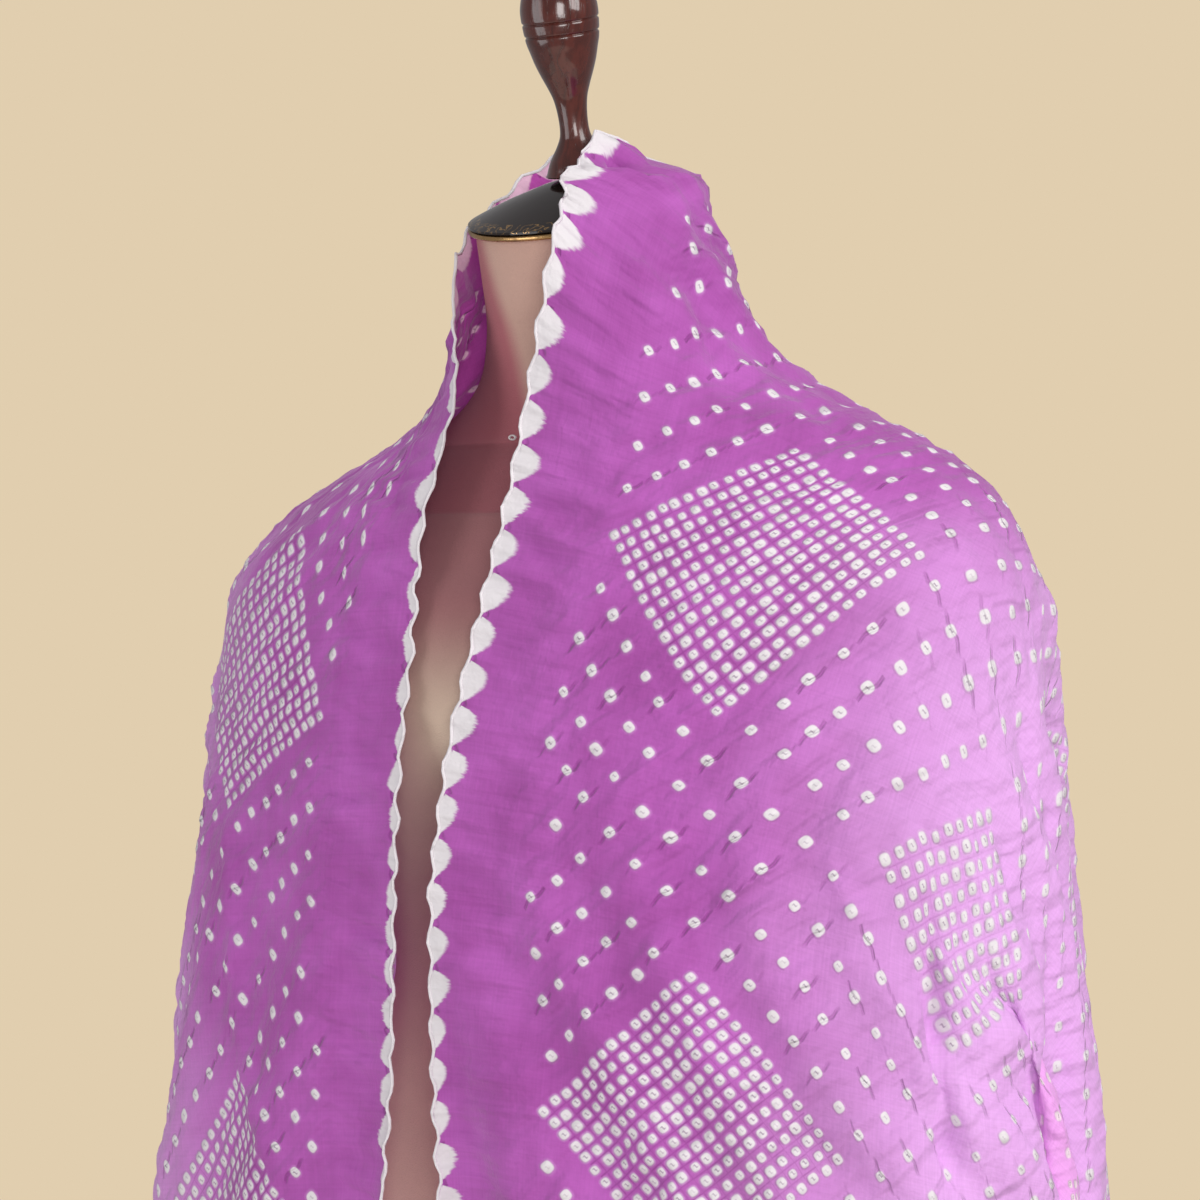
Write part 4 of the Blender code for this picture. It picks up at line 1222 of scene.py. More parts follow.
class Value:
    """An output of a node. Sums and comparisons with it add math nodes."""

    def __init__(self, nodes, socket):
        self.nodes = nodes
        self.socket = socket

    def clamp(self):
        """Keeps what its math node puts out between 0 and 1."""
        self.socket.node.use_clamp = True
        return self

    def __add__(self, other):
        return self.nodes.calc("ADD", self, other)

    def __radd__(self, other):
        return self.nodes.calc("ADD", other, self)

    def __sub__(self, other):
        return self.nodes.calc("SUBTRACT", self, other)

    def __rsub__(self, other):
        return self.nodes.calc("SUBTRACT", other, self)

    def __mul__(self, other):
        return self.nodes.calc("MULTIPLY", self, other)

    def __rmul__(self, other):
        return self.nodes.calc("MULTIPLY", other, self)

    def __truediv__(self, other):
        return self.nodes.calc("DIVIDE", self, other)

    def __pow__(self, other):
        return self.nodes.calc("POWER", self, other)

    def __abs__(self):
        return self.nodes.calc("ABSOLUTE", self)

    def __lt__(self, other):
        return self.nodes.calc("LESS_THAN", self, other)

    def __gt__(self, other):
        return self.nodes.calc("GREATER_THAN", self, other)


class Nodes:
    """Short ways to add and join the nodes of one tree."""

    def __init__(self, tree):
        self.tree = tree

    def add(self, kind, inputs=None, **settings):
        """Adds a node and returns its outputs."""
        node = self.tree.nodes.new(kind)
        for name, value in settings.items():
            setattr(node, name, value)
        for socket, value in (inputs or {}).items():
            self.feed(value, node.inputs[socket])
        return Outputs(self, node)

    def feed(self, value, socket):
        if isinstance(value, Value):
            self.tree.links.new(value.socket, socket)
        else:
            socket.default_value = tuple(value) if hasattr(value, "__len__") else value

    def calc(self, operation, *values):
        return self.add("ShaderNodeMath", dict(enumerate(values)), operation=operation)[0]

    def step(self, value, start, end):
        """Goes smoothly from 0 at start to 1 at end."""
        return self.add("ShaderNodeMapRange", {"Value": value, "From Min": start, "From Max": end},
                        interpolation_type="SMOOTHSTEP")["Result"]

    def mix(self, amount, first, second, blend="MIX"):
        return self.add("ShaderNodeMix", {"Factor": amount, 6: first, 7: second},
                        data_type="RGBA", blend_type=blend)[2]

    def toned(self, color, tone):
        """A colour multiplied by a grey value."""
        grey = self.add("ShaderNodeCombineColor", {0: tone, 1: tone, 2: tone})[0]
        return self.mix(1.0, color, grey, blend="MULTIPLY")

    def noise(self, vector, scale, detail=2.0, roughness=0.5):
        return self.add("ShaderNodeTexNoise", {"Vector": vector, "Scale": scale, "Detail": detail,
                                               "Roughness": roughness})["Fac"]

    def random(self, x, y):
        """A chance value and a chance colour for each pair of whole numbers."""
        outputs = self.add("ShaderNodeTexWhiteNoise", {"Vector": self.join(x, y)}, noise_dimensions="2D")
        return outputs["Value"], outputs["Color"]

    def split(self, vector):
        outputs = self.add("ShaderNodeSeparateXYZ", {"Vector": vector})
        return outputs[0], outputs[1], outputs[2]

    def join(self, x, y, z=0.0):
        return self.add("ShaderNodeCombineXYZ", {"X": x, "Y": y, "Z": z})[0]


class Outputs:
    """The outputs of a node, by name or number, as values."""

    def __init__(self, nodes, node):
        self.nodes = nodes
        self.node = node

    def __getitem__(self, key):
        return Value(self.nodes, self.node.outputs[key])


def new_group(name, inputs, outputs):
    """An empty group with named sockets: its nodes, what it is given and its own outputs."""
    tree = bpy.data.node_groups.new(name, "ShaderNodeTree")
    for label, kind, value in inputs:
        socket = tree.interface.new_socket(name=label, in_out="INPUT", socket_type=kind)
        if value is not None:
            socket.default_value = value
    for label in outputs:
        tree.interface.new_socket(name=label, in_out="OUTPUT", socket_type="NodeSocketFloat")
    nodes = Nodes(tree)
    return nodes, nodes.add("NodeGroupInput"), nodes.add("NodeGroupOutput").node.inputs


FLOAT, VECTOR = "NodeSocketFloat", "NodeSocketVector"
DOT_POWER = 2.8             # of the rounded squares that the ties leave


def tied_dot(nodes, first, second, cell_first, cell_second, radius, jitter):
    """Mask, dome, centre mark and halo of one dot, from the place by its middle in metres."""
    chance, shade = nodes.random(cell_first, cell_second)
    red, green, blue = nodes.split(shade)
    first = first + (red - 0.5) * jitter
    second = second + (green - 0.5) * jitter
    size = radius * (0.86 + blue * 0.26)
    square = (abs(first) ** DOT_POWER + abs(second) ** DOT_POWER) ** (1 / DOT_POWER)
    part = square / size
    mask = 1 - nodes.step(part, 0.82, 1.12)
    dome = (1 - part * (part * 0.6)).clamp()
    halo = 1 - nodes.step(part, 1.05, 1.60)
    lengthwise = first + second
    bend = nodes.calc("SINE", lengthwise * 1900.0) * 0.0005
    slit = abs(first - second - (bend + (blue - 0.5) * 0.0012))
    slit = 1 - nodes.step(slit, 0.0002, 0.0010)
    length = 1 - nodes.step(abs(lengthwise), 0.0008, 0.0024)
    mark = (slit * length * (0.35 + red)).clamp()
    return mask, dome, mark, halo, chance


def square_of_dots(nodes, bands, row, parity, dots, pitch, radius):
    """One kind of square, in every other crossing of the bands."""
    first, second = bands[0][1], bands[1][1]
    odd = nodes.calc("FRACT", (row + 8.0) * 0.5) * 2.0
    kind = abs(odd - parity) < 0.5
    rows = abs(row - 2.0) < 2.5
    reach = nodes.calc("MAXIMUM", abs(first), abs(second))
    inside = (reach < dots * pitch / 2 + 0.0002) * (kind * rows)
    half = 0.5 if dots % 2 == 0 else 0.0
    most = (dots - 1) / 2
    cells = []
    for value in (first, second):
        steps = value / pitch
        cell = nodes.calc("ROUND", steps - half) + half
        cell = nodes.calc("MINIMUM", nodes.calc("MAXIMUM", cell, -most), most)
        cells.append((cell, (steps - cell) * pitch))
    (cell_first, local_first), (cell_second, local_second) = cells
    tag_first = cell_first + bands[0][0] * 37.0
    tag_second = cell_second + bands[1][0] * 41.0
    mask, dome, mark, halo, chance = tied_dot(nodes, local_first, local_second, tag_first, tag_second,
                                              radius, pitch * 0.20)
    # groove: painted shade in the grooves between the dots, stronger in some cells than in others.
    groove = nodes.step(abs(local_first) / (pitch / 2), 0.80, 1.05)
    other = nodes.step(abs(local_second) / (pitch / 2), 0.85, 1.0) * 0.55
    within = reach < most * pitch
    groove = nodes.calc("MAXIMUM", groove, other) * (within * (0.25 + chance)).clamp()
    return [value * inside for value in (mask, dome, mark, halo, groove)]


def band_cell(nodes, value):
    """As band_cells does: the period, the place in it, and the nearest coarse dot and its middle."""
    turn = nodes.calc("ROUND", value / BAND_PERIOD)
    near = value - turn * BAND_PERIOD
    reach = abs(near)
    inside = nodes.calc("MINIMUM", nodes.calc("ROUND", reach / BAND_PITCH), BAND_DOTS)
    steps = nodes.calc("ROUND", (reach - STREET_FROM) / STREET_PITCH)
    steps = nodes.calc("MINIMUM", nodes.calc("MAXIMUM", steps, 0.0), 1.0)
    street = reach > (BAND_DOTS * BAND_PITCH + STREET_FROM) / 2
    house = 1 - street
    cell = house * inside + street * (steps + (BAND_DOTS + 1))
    place = house * (inside * BAND_PITCH) + street * (STREET_FROM + steps * STREET_PITCH)
    side = nodes.calc("SIGN", near)
    return turn, near, cell, turn * BAND_PERIOD + side * place, turn * 11.0 + side * cell


def coarse_dots(nodes, places, bands, row):
    """The wide lattice of single dots round the squares, and the creases that link them."""
    (_, _, cell_first, centre_first, tag_first), (_, _, cell_second, centre_second, tag_second) = bands
    centre_in = (centre_first + centre_second) * (1 / math.sqrt(2))
    from_middle = abs(centre_in - (PATTERN_WIDTH / 2 - ROW_IN))
    outside = nodes.calc("MAXIMUM", cell_first, cell_second) > BAND_DOTS + 0.5
    no_row = abs(row - 2.0) > 2.5
    tied = (from_middle < PATTERN_WIDTH / 2 - PLAIN_BAND) * nodes.calc("MAXIMUM", outside, no_row)
    local_first = places[0] - centre_first
    local_second = places[1] - centre_second
    mask, dome, mark, halo, chance = tied_dot(nodes, local_first, local_second, tag_first, tag_second,
                                              COARSE_RADIUS, 0.0030)
    deep_in = from_middle < PATTERN_WIDTH / 2 - TURN_PULL
    near = 1 - deep_in
    across = local_first * near + local_second * deep_in
    along = local_second * near + local_first * deep_in
    aside = abs(across - nodes.calc("SINE", along * 520.0) * 0.0007)
    reach = 1 - nodes.step(abs(along), 0.006, 0.0115)
    # crease: where a crease links two coarse dots; a dent in the relief, and painted shade in the colour.
    crease = (1 - nodes.step(aside, 0.0001, 0.0013)) * (reach * nodes.step(chance, 0.25, 0.95))
    return [value * tied for value in (mask, dome, mark, halo, crease)]


def half_moons(nodes, along, inward):
    """The undyed scallops of the border, and the knots and loops between them."""
    steps = along / MOON_PITCH
    moon = nodes.calc("ROUND", steps)
    local = (steps - moon) * 2.0
    chance, shade = nodes.random(moon, 3.0)
    _, other, third = nodes.split(shade)
    lean = local + (1 - local * local) * 0.30
    arc = nodes.calc("MAXIMUM", 1 - abs(lean) ** 2.2, 0.0) ** 0.75
    from_turn = abs(along + (FIRST_SQUARE + MOONS_SHORT_AT))
    from_peak = abs(along + (FIRST_SQUARE - COLLAR_PEAK))
    deep = MOON_DEPTH * (0.62 + chance * 0.50)
    deep = deep * (0.60 + nodes.step(from_turn, 0.08, 0.20) * 0.40)
    deep = deep * (0.50 + nodes.step(from_peak, 0.010, 0.030) * 0.65)
    deep = deep * (1 - nodes.step(from_peak, 0.25, 0.36) * 0.18)
    streaks = nodes.noise(nodes.join(along * 700.0, inward * 150.0), 1.0, 3.0, 0.65)
    feather = (streaks - 0.5) * (0.25 + other * 0.45)
    part = inward / (0.0014 + deep * arc)
    moons = 1 - nodes.step(part + feather, 0.84, 1.12)
    knot_along = (1 - abs(local)) * (MOON_PITCH / 2)
    knot_in = inward - (0.0022 + third * 0.0012)
    from_knot = nodes.calc("SQRT", knot_along * knot_along + knot_in * knot_in)
    knot = 1 - nodes.step(from_knot, 0.0007, 0.0020)
    # loop: a dent round each knot between the moons, also darkened as painted shade.
    loop = 1 - nodes.step(abs(from_knot - 0.0034), 0.0003, 0.0012)
    loop = loop * ((1 - moons) * nodes.step(inward, 0.001, 0.003))
    return (moons - knot * 0.75).clamp(), loop * nodes.step(chance, 0.1, 0.7)


def pattern_group():
    """Where the ties left the cloth white, from the pattern map in metres."""
    nodes, given, out = new_group(
        "Tied Pattern", [("Place", VECTOR, None)],
        ["White", "Height", "Mark", "Dark", "Halo", "Fade", "Pull", "Furrow"])
    place_along, place_in, _ = nodes.split(given["Place"])
    along = place_along - FIRST_SQUARE
    across = place_in - ROW_IN
    half = PATTERN_WIDTH / 2
    inward = half - abs(place_in - half)
    first = (along + across) * (1 / math.sqrt(2))
    second = (across - along) * (1 / math.sqrt(2))
    bands = band_cell(nodes, first), band_cell(nodes, second)
    row = bands[0][0] + bands[1][0]
    big = square_of_dots(nodes, bands, row, 0.0, FINE_DOTS, FINE_PITCH, FINE_RADIUS)
    small = square_of_dots(nodes, bands, row, 1.0, SMALL_DOTS, SMALL_PITCH, SMALL_RADIUS)
    wide = coarse_dots(nodes, (first, second), bands, row)
    moons, loop = half_moons(nodes, along, inward)

    dots, domes, marks, halos, grooves = [nodes.calc("MAXIMUM", *pair) for pair in zip(big, small)]
    white = nodes.calc("MAXIMUM", nodes.calc("MAXIMUM", dots, wide[0]), moons)
    height = domes * 0.0012 + wide[1] * 0.0010 - wide[4] * 0.0009 - loop * 0.0006
    mark = nodes.calc("MAXIMUM", marks, wide[2])
    halo = nodes.calc("MAXIMUM", halos, wide[3] * 0.5)
    # Painted shade in the grooves between the fine dots, along the creases between coarse dots and in the
    # loop dents.
    dark = nodes.calc("MAXIMUM", grooves * 0.85, wide[4] * 0.60)
    dark = nodes.calc("MAXIMUM", dark, loop * 0.6)

    # The dye fades away from the border, later round the neck.
    begin = 0.125 + (1 - nodes.step(abs(place_along), 0.08, 0.32)) * 0.17
    cloud = nodes.noise(nodes.join(place_along, place_in), 9.0, 3.0, 0.5) - 0.5
    fade = nodes.step(place_in + cloud * 0.09 - begin, 0.0, 0.19)

    # Soft pulls along one diagonal, and furrows square to the border in its plain band.
    pull = nodes.noise(nodes.join((first + cloud * 0.03) * 85.0, second * 24.0), 1.0, 1.6, 0.5)
    furrow = nodes.noise(nodes.join(place_along * 95.0, inward * 18.0), 1.0, 1.6, 0.5)
    results = {"White": white, "Height": height, "Mark": mark, "Dark": dark, "Halo": halo, "Fade": fade,
               "Pull": pull * nodes.step(inward, 0.03, 0.07),
               "Furrow": furrow * (1 - nodes.step(inward, 0.045, 0.085))}
    for label, value in results.items():
        nodes.feed(value, out[label])
    return nodes.tree


def weave_group():
    """Warp and weft of a plain weave, with threads that vary in width and height."""
    nodes, given, out = new_group(
        "Plain Weave", [("Place", VECTOR, None), ("Threads per Metre", FLOAT, 2400.0)], ["Height", "Slub"])
    along, across, _ = nodes.split(given["Place"])
    threads = given["Threads per Metre"]
    over = nodes.calc("SINE", along * threads * math.pi) * nodes.calc("SINE", across * threads * math.pi)
    thin = nodes.noise(nodes.join(along * 900.0, across * 12.0), 1.0, 2.0)
    long = nodes.noise(nodes.join(along * 12.0, across * 900.0), 1.0, 2.0)
    nodes.feed(over * 0.5 + 0.5, out["Height"])
    nodes.feed((thin + long) * 0.5, out["Slub"])
    return nodes.tree


def grain_group():
    """Wood grain that runs up the turned pieces."""
    nodes, given, out = new_group(
        "Turned Grain", [("Place", VECTOR, None), ("Fineness", FLOAT, 1.0)], ["Grain", "Pores"])
    x, y, z = nodes.split(given["Place"])
    stretched = nodes.add("ShaderNodeVectorMath", {0: nodes.join(x * 60.0, y * 60.0, z * 7.0),
                                                   "Scale": given["Fineness"]}, operation="SCALE")[0]
    broad = nodes.noise(stretched, 1.0, 4.0, 0.55)
    rings = nodes.calc("SINE", (broad + x * 9.0) * 42.0)
    pores = nodes.noise(nodes.join(x * 900.0, y * 900.0, z * 55.0), 1.0, 2.0, 0.5)
    nodes.feed((rings * 0.28 + broad).clamp(), out["Grain"])
    nodes.feed(nodes.step(pores, 0.60, 0.72), out["Pores"])
    return nodes.tree


def smudge_group():
    """Handling marks and dust that dull a gloss."""
    nodes, given, out = new_group(
        "Smudges", [("Place", VECTOR, None), ("Scale", FLOAT, 30.0)], ["Smear", "Dust"])
    smear = nodes.step(nodes.noise(given["Place"], given["Scale"], 4.0, 0.6), 0.42, 0.75)
    dust = nodes.step(nodes.noise(given["Place"], given["Scale"] * 40.0, 2.0, 0.5), 0.66, 0.78)
    nodes.feed(smear, out["Smear"])
    nodes.feed(dust, out["Dust"])
    return nodes.tree


def place_group(nodes, tree, inputs):
    """Uses a shared group in this tree, and returns its outputs."""
    return nodes.add("ShaderNodeGroup", inputs, node_tree=tree)


def new_material(name, **settings):
    """A material with its shader's own values set: the material, its nodes and the shader's inputs."""
    material = bpy.data.materials.new(name)
    material.use_nodes = True
    nodes = Nodes(material.node_tree)
    shader = next(node for node in material.node_tree.nodes if node.type == "BSDF_PRINCIPLED")
    for label, value in settings.items():
        shader.inputs[label.replace("_", " ")].default_value = value
    return material, nodes, shader.inputs


def object_place(nodes):
    return nodes.add("ShaderNodeTexCoord")["Object"]


def relief(nodes, shader, height):
    bump = nodes.add("ShaderNodeBump", {"Height": height, "Strength": 1.0, "Distance": 1.0})
    nodes.feed(bump["Normal"], shader["Normal"])


# Painted light on the cloth's inner side: a tint and a glow that stand in for light coming through the thin
# dyed cloth.
PAINTED_THROUGH_TINT = (0.85, 0.45, 0.66, 1.0)
PAINTED_GLOW_THROUGH = 0.22         # painted glow: light that comes through the thin cloth to its inner side
MARK_COLOR = (0.20, 0.12, 0.22, 1.0)
THREADS = 2300.0            # in a metre of the cotton


def cotton_material(dye, groups):
    """Dye and ties by the pattern map, weave and wrinkles by the flat one; painted shade in the creases
    between dots, and a painted tint and glow on the inner side for light that comes through the cloth.
    """
    material, nodes, shader = new_material(
        "Tied Cotton", Roughness=0.82, Specular_IOR_Level=0.25, Sheen_Weight=0.28, Sheen_Roughness=0.45,
        Sheen_Tint=(0.95, 0.75, 0.95, 1), Emission_Strength=1.0)
    flat = nodes.add("ShaderNodeUVMap", uv_map="flat")[0]
    place = nodes.add("ShaderNodeUVMap", uv_map="pattern")[0]
    tied = place_group(nodes, groups["pattern"], {"Place": place})
    weave = place_group(nodes, groups["weave"], {"Place": flat, "Threads per Metre": THREADS})
    cloud = nodes.noise(flat, 14.0, 3.0, 0.6)
    shaded = nodes.mix(nodes.step(cloud, 0.3, 0.75), dye.shade_color, dye.main_color)
    pale = nodes.mix(tied["Halo"] * 0.30, dye.pale_color, dye.undyed_color)
    dyed = nodes.mix(nodes.calc("MAXIMUM", tied["Fade"], tied["Halo"] * 0.50), shaded, pale)
    dyed = nodes.toned(dyed, 0.80 + weave["Slub"] * 0.40)
    # Painted shade in the grooves, creases and loop dents, weaker where the dye has faded.
    dyed = nodes.mix(tied["Dark"] * (0.80 - tied["Fade"] * 0.55), dyed, dye.crease_shade_color)
    color = nodes.mix(tied["White"], dyed, dye.undyed_color)
    color = nodes.mix(tied["Mark"] * 0.60, color, MARK_COLOR)
    # Painted light on the inner side: the colour tinted, and a glow in the emission, for light that comes
    # through the cloth.
    inner = nodes.add("ShaderNodeNewGeometry")["Backfacing"]
    color = nodes.mix(inner * (0.80 - tied["Fade"] * 0.45), color, PAINTED_THROUGH_TINT, blend="MULTIPLY")
    nodes.feed(color, shader["Base Color"])
    nodes.feed(nodes.mix(inner * PAINTED_GLOW_THROUGH, (0, 0, 0, 1), color), shader["Emission Color"])
    height = tied["Height"] + weave["Height"] * 0.00003
    wrinkles = ((nodes.noise(flat, 260.0, 3.0, 0.6), 0.0005), (nodes.noise(flat, 75.0, 3.0, 0.55), 0.0014),
                (tied["Pull"], 0.0070), (tied["Furrow"], 0.0055))
    for value, amount in wrinkles:
        height = height + value * amount
    relief(nodes, shader, height)
    return material


def jersey_material(form):
    """The cover: cream on the chest and pinkish on the neck, with painted light in bands up the form: lighter
    below the waist, and painted reddish shade under the collar on the top of the chest and the yoke, and on
    the neck beside the far collar.
    """
    material, nodes, shader = new_material("Jersey Cover", Roughness=0.78, Sheen_Weight=0.15,
                                           Specular_IOR_Level=0.2)
    place = object_place(nodes)
    x, _, height = nodes.split(place)
    cloud = nodes.noise(place, 18.0, 3.0, 0.6)
    # Lighter below the waist: painted light against the shade between the cloth's front edges.
    body = nodes.mix(nodes.step(height, 0.95, 1.06), form.hip_lightened_color, form.cream_color)
    # Painted shade, reddened by light off the dyed cloth, on the top of the chest and the yoke under the
    # collar.
    body = nodes.mix(nodes.step(height, 1.105, 1.195), body, form.bib_shade_color)
    yoke = nodes.mix(nodes.step(height, YOKE_EDGE - 0.0006, YOKE_EDGE + 0.0006), body, form.yoke_shade_color)
    # Painted reddish shade on the foot of the neck and on its side towards the far collar.
    edge = -0.008 - (height - 1.285) * 0.26
    beyond = nodes.step(x - edge, -0.010, 0.006) * nodes.step(height, 1.276, 1.300)
    upper = nodes.mix(beyond, form.neck_shade_color, form.neck_color)
    dressed = nodes.mix(nodes.step(height, NECK_SEAM - 0.0008, NECK_SEAM + 0.0008), yoke, upper)
    knit = nodes.noise(place, 1400.0, 2.0, 0.6)
    nodes.feed(nodes.toned(dressed, 0.80 + (cloud * 0.22 + knit * 0.16)), shader["Base Color"])
    relief(nodes, shader, knit * 0.0004)
    return material


def lacquer_material(form, groups):
    """Gloss black, with worn gilt marks in a band round the rim."""
    material, nodes, shader = new_material("Black Lacquer", Roughness=0.10)
    place = object_place(nodes)
    smudges = place_group(nodes, groups["smudges"], {"Place": place, "Scale": 24.0})
    color = nodes.mix(smudges["Dust"] * 0.08, form.lacquer_color, (0.20, 0.17, 0.15, 1))
    _, y, z = nodes.split(place)
    middle = up_the_slope(RING_HEIGHT + 2 * GAP)
    back, up = y - float(middle[1]), z - float(middle[2])
    above = up * math.cos(CAP_SLOPE) - back * math.sin(CAP_SLOPE)
    band = abs(above - 0.0026) < 0.0016
    line = abs(nodes.noise(place, 210.0, 1.0) - 0.52)
    gilded = band * (1 - nodes.step(line, 0.010, 0.024))
    nodes.feed(nodes.mix(gilded, color, form.gilt_color), shader["Base Color"])
    nodes.feed(gilded, shader["Metallic"])
    nodes.feed(0.06 + smudges["Smear"] * 0.08, shader["Roughness"])
    relief(nodes, shader, nodes.noise(place, 40.0, 2.0) * 0.0002)
    return material


def gilt_material(form, groups):
    material, nodes, shader = new_material("Worn Gilt", Metallic=1.0, Roughness=0.30)
    place = object_place(nodes)
    smudges = place_group(nodes, groups["smudges"], {"Place": place, "Scale": 60.0})
    nodes.feed(nodes.mix(smudges["Smear"], form.gilt_color, (0.20, 0.11, 0.05, 1)), shader["Base Color"])
    nodes.feed(0.22 + smudges["Smear"] * 0.3, shader["Roughness"])
    relief(nodes, shader, nodes.noise(place, 500.0, 2.0) * 0.0001)
    return material


def wood_material(name, color, groups, coat, roughness):
    material, nodes, shader = new_material(name, Roughness=roughness, Coat_Weight=coat, Coat_Roughness=0.06)
    place = object_place(nodes)
    grain = place_group(nodes, groups["grain"], {"Place": place, "Fineness": 1.0})
    smudges = place_group(nodes, groups["smudges"], {"Place": place, "Scale": 35.0})
    dark = tuple(value * 0.62 for value in color[:3]) + (1,)
    lit = tuple(min(value * 1.30, 1) for value in color[:3]) + (1,)
    grained = nodes.mix(grain["Grain"], dark, lit)
    nodes.feed(nodes.mix(grain["Pores"] * 0.5, grained, dark), shader["Base Color"])
    nodes.feed(roughness + smudges["Smear"] * 0.18, shader["Roughness"])
    relief(nodes, shader, grain["Grain"] * 0.00008 - grain["Pores"] * 0.00006)
    return material


def thread_material():
    material, nodes, shader = new_material("White Thread", Roughness=0.8)
    ply = nodes.noise(object_place(nodes), 2500.0, 2.0)
    nodes.feed(nodes.mix(ply, (0.55, 0.52, 0.50, 1), (0.85, 0.83, 0.80, 1)), shader["Base Color"])
    relief(nodes, shader, ply * 0.0003)
    return material


def floor_material(stage):
    material, nodes, shader = new_material("Pale Floor", Roughness=0.75)
    cloud = nodes.noise(object_place(nodes), 1.5, 3.0)
    nodes.feed(nodes.toned(stage.floor_color, 0.94 + cloud * 0.10), shader["Base Color"])
    return material


def dress(piece, material):
    """Gives the piece this material and no other."""
    piece.data.materials.clear()
    piece.data.materials.append(material)


def hang(piece, node):
    """Joins a piece to the frame, and hides the CAD node that it stands for, if it has one."""
    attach(piece, "root")
    if node:
        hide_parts(node)


def shared_groups():
    """The node groups, built once for all the materials."""
    makers = {"pattern": ("Tied Pattern", pattern_group), "weave": ("Plain Weave", weave_group),
              "grain": ("Turned Grain", grain_group), "smudges": ("Smudges", smudge_group)}
    return {key: bpy.data.node_groups.get(name) or make() for key, (name, make) in makers.items()}


# ---------------------------------------------------------------- the studio

CAMERA_PLACE = (1.47837, -2.13885, 1.192)
CAMERA_LENS = 148.29
LOOK_AT = Vector((0.0, -0.03, 1.20))
VIEW_INTO = Vector((-math.sin(VIEW_TURN), math.cos(VIEW_TURN), 0.0))
VIEW_RIGHT = Vector((math.cos(VIEW_TURN), math.sin(VIEW_TURN), 0.0))


# Soft lights, placed from the object's middle as the camera sees it. The power is a
# studio setting, and the share is how much of it the light gets.
SoftLight = namedtuple("SoftLight", "name right nearer up size power share color in_gloss")
LIGHTS = [
    SoftLight("key_light", 1.6, 1.5, 1.0, (1.2, 1.6), "key_power", 1.0, (1.0, 0.98, 0.97), True),
    SoftLight("front_light", 0.25, 2.8, 0.1, (1.0, 1.4), "front_power", 1.0, (1.0, 0.97, 0.96), True),
    SoftLight("back_light", -0.4, -2.2, 0.6, (1.8, 1.6), "back_power", 1.0, (1.0, 0.98, 0.97), False),
    SoftLight("fill_light", -1.9, 0.8, -0.1, (1.2, 1.8), "fill_power", 1.0, (0.98, 0.98, 1.0), True),
    SoftLight("top_light", 0.2, 0.2, 1.9, (1.0, 1.0), "fill_power", 0.5, (1.0, 1.0, 1.0), True),
]


def add_light(given, power):
    data = bpy.data.lights.new(given.name, "AREA")
    data.shape = "RECTANGLE"
    data.size, data.size_y = given.size
    data.energy = power * given.share
    data.color = given.color
    light = bpy.data.objects.new(given.name, data)
    place = LOOK_AT + VIEW_RIGHT * given.right - VIEW_INTO * given.nearer + Vector((0, 0, given.up))
    light.location = place
    light.rotation_euler = (LOOK_AT - place).to_track_quat("-Z", "Y").to_euler()
    light.visible_glossy = given.in_gloss
    bpy.context.scene.collection.objects.link(light)


def make_backdrop(stage):
    """The camera sees the pale backdrop colour; the object is lit by a neutral one."""
    world = bpy.data.worlds.new("Studio")
    world.use_nodes = True
    bpy.context.scene.world = world
    nodes = Nodes(world.node_tree)
    seen = world.node_tree.nodes["Background"]
    seen.inputs["Color"].default_value = tuple(stage.backdrop_color)
    lighting = nodes.add("ShaderNodeBackground", {"Color": stage.ambient_color, "Strength": stage.ambient})
    by_camera = nodes.add("ShaderNodeLightPath")["Is Camera Ray"]
    both = nodes.add("ShaderNodeMixShader", {0: by_camera, 1: lighting[0], 2: Outputs(nodes, seen)[0]})
    nodes.feed(both[0], world.node_tree.nodes["World Output"].inputs["Surface"])


def make_floor(stage):
    floor = start_disc("studio_floor", stage.floor_radius, 96, 0.0)
    bpy.ops.mesh.inset(thickness=stage.floor_radius * 0.25, depth=0.0)
    close_piece(floor, math.radians(30))
    dress(floor, floor_material(stage))
    deselect()


def make_camera():
    data = bpy.data.cameras.new("photo_view")
    data.sensor_width = 36
    data.lens = CAMERA_LENS
    camera = bpy.data.objects.new("photo_view", data)
    camera.location = CAMERA_PLACE
    camera.rotation_euler = (math.radians(90), 0, VIEW_TURN)
    bpy.context.scene.collection.objects.link(camera)
    bpy.context.scene.camera = camera
    bpy.context.scene.view_settings.view_transform = "Standard"


# ---------------------------------------------------------------- settings


def color_setting(name, description, default):
    return bpy.props.FloatVectorProperty(name=name, description=description, default=default, size=4,
                                         min=0.0, max=1.0, subtype="COLOR")


def length_setting(name, description, default, low, high):
    return bpy.props.FloatProperty(name=name, description=description, default=default, min=low, max=high,
                                   unit="LENGTH", precision=4)


def power_setting(name, description, default):
    return bpy.props.FloatProperty(name=name, description=description, default=default, min=0.0, max=500.0,
                                   subtype="POWER")


class BandhaniClothSettings(bpy.types.PropertyGroup):
    cloth_length: length_setting("Length", "Length of the flat cloth along the draped edge", 2.20, 1.8, 2.4)
    cloth_width: length_setting("Width", "Width of the flat cloth", 0.80, 0.5, 1.0)
    mesh_cell: length_setting("Mesh Cell", "Side of one face of the cloth's mesh", 0.0044, 0.004, 0.02)
    pucker: length_setting("Pucker", "How high the cloth stands at each coarse tie", 0.0011, 0.0, 0.003)
    hem_radius: length_setting("Hem Radius", "Half the thickness of the rolled edge", 0.0009, 0.0004, 0.002)


